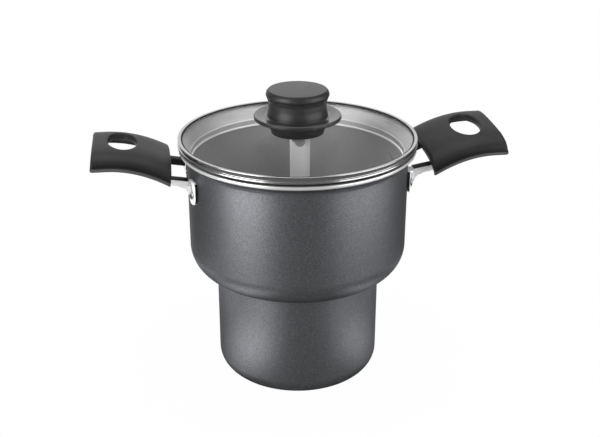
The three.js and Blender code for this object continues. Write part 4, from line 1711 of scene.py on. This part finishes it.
def bent_strip(sizes):
    """Strip whose blank is cut across at the bend, bent up from its foot and turned with the plate."""
    foot_low = sizes.bottom + sizes.sheet + GAP
    middle = sizes.sheet / 2
    bend_radius = 2.0 * MM
    foot_length = sizes.strip_width / 2
    straight = foot_length + sizes.strip_back + middle - bend_radius
    bend_length = bend_radius * math.pi / 2
    upright = sizes.strip_top - foot_low - middle - bend_radius
    build = bmesh.new()
    build.from_mesh(strip_blank(sizes, straight + bend_length + upright, foot_length))
    bmesh.ops.remove_doubles(build, verts=build.verts, dist=WELD)
    bends = 8
    for i in range(bends + 1):
        cut = Vector((0, straight + bend_length * i / bends, 0))
        parts = build.verts[:] + build.edges[:] + build.faces[:]
        bmesh.ops.bisect_plane(build, geom=parts, plane_co=cut, plane_no=(0, 1, 0), dist=WELD)
    turn_about = Vector((0, straight - foot_length, foot_low + middle + bend_radius))
    for vert in build.verts:
        across, run, rise = vert.co
        if run <= straight:
            vert.co = (across, run - foot_length, foot_low + middle + rise)
            continue
        turn = min(1.0, (run - straight) / bend_length) * math.pi / 2
        out = Vector((0, math.sin(turn), -math.cos(turn)))
        climb = max(0.0, run - straight - bend_length)
        spot = turn_about + out * (bend_radius - rise) + Vector((0, 0, climb))
        vert.co = (across, spot.y, spot.z)
    bmesh.ops.rotate(build, verts=build.verts, matrix=Matrix.Rotation(sizes.strip_turn, 3, "Z"))
    return finished(build, "lifting_strip")


class STEAMER_OT_lift_strip(bpy.types.Operator):
    """Lift strip: a blank with a slot, bent up from the foot that is riveted to the plate"""

    bl_idname = "steamer.lift_strip"
    bl_label = "Lift strip"

    def execute(self, context):
        mesh = bent_strip(settings("steamer_plate"))
        rolled = (1.0, 1.0, 0.1)
        aluminium = brushed_metal(
            "strip_aluminium", roughness=0.5, streaks=rolled, metallic=0.2, bright=0.92
        )
        strip = new_piece("lifting_strip", mesh, [aluminium])
        settle(strip, "steamer", "strip_aluminium", "lift_strip")
        return {"FINISHED"}


# Stage

# Width of the camera's sensor in millimetres
SENSOR_WIDTH = 36.0


def softbox(name, place, aim, width, height, power):
    """Rectangular lamp turned to its aim, which the camera does not see."""
    lamp = bpy.data.lights.new(name, "AREA")
    lamp.shape = "RECTANGLE"
    lamp.size = width
    lamp.size_y = height
    lamp.energy = power
    light = bpy.data.objects.new(name, lamp)
    light.visible_camera = False
    light.location = place
    light.rotation_euler = (Vector(aim) - Vector(place)).to_track_quat("-Z", "Y").to_euler()
    bpy.context.scene.collection.objects.link(light)


class Shading:
    """Short hand for the node trees of the room and the floor."""

    def __init__(self, tree):
        self.tree = tree
        self.path = tree.nodes.new("ShaderNodeLightPath").outputs

    def math(self, operation, first, second):
        node = self.tree.nodes.new("ShaderNodeMath")
        node.operation = operation
        for socket, value in zip(node.inputs, (first, second)):
            if hasattr(value, "is_output"):
                self.tree.links.new(value, socket)
            else:
                socket.default_value = value
        return node.outputs[0]

    def mix(self, factor, first, second):
        """Value that goes from the first to the second as the factor goes from 0 to 1."""
        return self.math("ADD", self.math("MULTIPLY", factor, self.math("SUBTRACT", second, first)), first)

    def ramp(self, value, start, end, low, high):
        """Value that goes smoothly from low to high between two limits."""
        node = self.tree.nodes.new("ShaderNodeMapRange")
        node.interpolation_type = "SMOOTHSTEP"
        self.tree.links.new(value, node.inputs["Value"])
        for label, limit in (("From Min", start), ("From Max", end), ("To Min", low), ("To Max", high)):
            node.inputs[label].default_value = limit
        return node.outputs["Result"]

    def is_none(self, depth):
        """1 where a ray has met no surface of that kind."""
        return self.math("LESS_THAN", self.path[depth], 0.5)

    def seen_directly(self):
        """1 for rays from the camera, also straight through the glass."""
        through = self.math("MULTIPLY", self.through_glass(), self.is_none("Glossy Depth"))
        return self.math("MAXIMUM", self.path["Is Camera Ray"], through)

    def seen_mirrored(self):
        """1 for rays from a glossy surface, also through the glass."""
        mirrored = self.math("SUBTRACT", 1.0, self.is_none("Glossy Depth"))
        through = self.math("MULTIPLY", self.through_glass(), mirrored)
        return self.math("MAXIMUM", self.path["Is Glossy Ray"], through)

    def through_glass(self):
        """1 for rays that come through the glass and not from a matt surface."""
        return self.math("MULTIPLY", self.path["Is Transmission Ray"], self.is_none("Diffuse Depth"))


# Backward part of a direction above which it meets the backdrop
BACKDROP_FROM = 0.8


def room_light(stage):
    """White backdrop, also as metal mirrors it behind the pot, in a plain grey room."""
    world = bpy.data.worlds.new("room")
    world.use_nodes = True
    tree = world.node_tree
    background = tree.nodes["Background"]
    background.inputs["Color"].default_value = (1, 1, 1, 1)
    shading = Shading(tree)
    direction = tree.nodes.new("ShaderNodeSeparateXYZ")
    tree.links.new(tree.nodes.new("ShaderNodeTexCoord").outputs["Generated"], direction.inputs[0])
    backdrop = shading.math("GREATER_THAN", direction.outputs["Y"], BACKDROP_FROM)
    mirrored = shading.mix(backdrop, stage.mirrored, stage.backdrop)
    level = shading.mix(shading.seen_mirrored(), stage.ambient, mirrored)
    level = shading.mix(shading.seen_directly(), level, 1.0)
    tree.links.new(level, background.inputs["Strength"])
    bpy.context.scene.world = world


# Floor as the camera sees it: its white, and the distances over which it fades into the backdrop
FLOOR_WHITE = (0.9, 0.9, 0.9, 1)
FLOOR_FADE = (80 * MM, 170 * MM)
# Floor as glossy surfaces mirror it: two distances, and the brightness at each
FRONT_GLOW = (100 * MM, 160 * MM, 1.9, 0.1)
BACK_GLOW = (130 * MM, 180 * MM, 0.4, 1.5)
FRONT_TO_BACK = (-60 * MM, 40 * MM, 0.0, 1.0)
LEFT_TO_RIGHT = (-50 * MM, 50 * MM, 1.0, 0.7)
MIDDLE_TO_SIDES = (40 * MM, 100 * MM, 0.0, 1.0)


def floor_paint(stage):
    """White floor with a soft shadow, fading into the backdrop and mirrored dark in line with the pot."""
    material = bpy.data.materials.new("pale_floor")
    material.use_nodes = True
    tree = material.node_tree
    shader = tree.nodes["Principled BSDF"]
    shader.inputs["Base Color"].default_value = FLOOR_WHITE
    shader.inputs["Roughness"].default_value = 0.8
    shading = Shading(tree)
    place = tree.nodes.new("ShaderNodeTexCoord").outputs["Object"]
    across = tree.nodes.new("ShaderNodeSeparateXYZ")
    tree.links.new(place, across.inputs[0])
    length_of = tree.nodes.new("ShaderNodeVectorMath")
    length_of.operation = "LENGTH"
    tree.links.new(place, length_of.inputs[0])
    far = length_of.outputs["Value"]
    fade = shading.ramp(far, *FLOOR_FADE, stage.floor_glow, 1.0)
    in_front = shading.ramp(far, *FRONT_GLOW)
    behind = shading.ramp(far, *BACK_GLOW)
    lit = shading.mix(shading.ramp(across.outputs["Y"], *FRONT_TO_BACK), in_front, behind)
    lit = shading.math("MULTIPLY", lit, shading.ramp(across.outputs["X"], *LEFT_TO_RIGHT))
    beside = shading.math("ABSOLUTE", across.outputs["X"], 0.0)
    bright = shading.mix(shading.ramp(beside, *MIDDLE_TO_SIDES), stage.mirrored, lit)
    glossy = shading.seen_mirrored()
    glow = tree.nodes.new("ShaderNodeEmission")
    tree.links.new(shading.mix(glossy, 1.0, bright), glow.inputs["Strength"])
    mix = tree.nodes.new("ShaderNodeMixShader")
    shown = shading.math("MULTIPLY", shading.seen_directly(), fade)
    tree.links.new(shading.math("MAXIMUM", shown, glossy), mix.inputs["Fac"])
    tree.links.new(shader.outputs[0], mix.inputs[1])
    tree.links.new(glow.outputs[0], mix.inputs[2])
    tree.links.new(mix.outputs[0], tree.nodes["Material Output"].inputs["Surface"])
    return material


def round_pot(turn, distance, height):
    """Place at a turn about the pot's axis, counted from the front."""
    return Vector((math.sin(turn) * distance, -math.cos(turn) * distance, height))


def add_camera(stage, aim, back):
    """Camera that looks at its aim from the direction of back."""
    camera_data = bpy.data.cameras.new("camera")
    camera_data.sensor_fit = "HORIZONTAL"
    camera_data.sensor_width = SENSOR_WIDTH
    camera_data.lens = stage.lens
    camera_data.shift_x = stage.side_shift
    camera_data.clip_start = 10 * MM
    camera = bpy.data.objects.new("camera", camera_data)
    camera.location = aim + back * stage.distance
    camera.rotation_euler = (-back).to_track_quat("-Z", "Y").to_euler()
    bpy.context.scene.collection.objects.link(camera)
    bpy.context.scene.camera = camera


class STEAMER_OT_stage(bpy.types.Operator):
    """Pale floor, softboxes on both sides and overhead, white backdrop and the camera"""

    bl_idname = "steamer.stage"
    bl_label = "Stage"

    def execute(self, context):
        stage = settings("steamer_stage")
        context.scene.view_settings.view_transform = "Standard"
        rim = arc((0, 0), stage.floor_radius, 0, 360, FLOOR_ROUND)[:-1]
        corners = [(x, y, 0) for x, y in rim]
        mesh = bpy.data.meshes.new("floor")
        mesh.from_pydata(corners, [], [range(len(corners))])
        floor = new_piece("floor", mesh, [floor_paint(stage)])
        aim = Vector((0, 0, stage.aim_height))
        reach = math.cos(stage.elevation)
        add_camera(stage, aim, round_pot(stage.azimuth, reach, math.sin(stage.elevation)))
        for name, turn, width, power in (
            ("left_softbox", stage.left_turn, stage.left_width, stage.left_light),
            ("right_softbox", stage.right_turn, stage.right_width, stage.right_light),
        ):
            place = round_pot(stage.azimuth + turn, stage.box_distance, stage.box_level)
            softbox(name, place, (0, 0, place.z), width, stage.box_height, power)
        above = (0, stage.top_back, stage.top_level)
        softbox("top_softbox", above, aim, stage.top_width, stage.top_depth, stage.top_light)
        room_light(stage)
        return {"FINISHED"}


# Panel and registration

PIECE_OPERATORS = (
    STEAMER_OT_pot,
    STEAMER_OT_lid_ring,
    STEAMER_OT_lid_glass,
    STEAMER_OT_knob,
    STEAMER_OT_grips,
    STEAMER_OT_brackets,
    STEAMER_OT_rivets,
    STEAMER_OT_fasteners,
    STEAMER_OT_plate,
    STEAMER_OT_lift_strip,
    STEAMER_OT_stage,
)


class STEAMER_PT_panel(bpy.types.Panel):
    """Lists the operators that build the steamer"""

    bl_label = "Couscous steamer"
    bl_idname = "STEAMER_PT_panel"
    bl_space_type = "VIEW_3D"
    bl_region_type = "UI"
    bl_category = "Steamer"

    def draw(self, context):
        for operator in PIECE_OPERATORS:
            self.layout.operator(operator.bl_idname)


SETTINGS = {
    "steamer_pot": PotSizes,
    "steamer_lid": LidSizes,
    "steamer_knob": KnobSizes,
    "steamer_grip": GripSizes,
    "steamer_bracket": BracketSizes,
    "steamer_plate": SteamerSizes,
    "steamer_finish": Finishes,
    "steamer_stage": StageSettings,
}


def register():
    for name, group in SETTINGS.items():
        bpy.utils.register_class(group)
        setattr(bpy.types.Scene, name, PointerProperty(type=group))
    for operator in PIECE_OPERATORS:
        bpy.utils.register_class(operator)
    bpy.utils.register_class(STEAMER_PT_panel)


def unregister():
    bpy.utils.unregister_class(STEAMER_PT_panel)
    for operator in reversed(PIECE_OPERATORS):
        bpy.utils.unregister_class(operator)
    for name, group in SETTINGS.items():
        delattr(bpy.types.Scene, name)
        bpy.utils.unregister_class(group)


def main():
    register()
    for operator in PIECE_OPERATORS:
        group, name = operator.bl_idname.split(".")
        getattr(getattr(bpy.ops, group), name)()


if __name__ == "__main__":
    main()
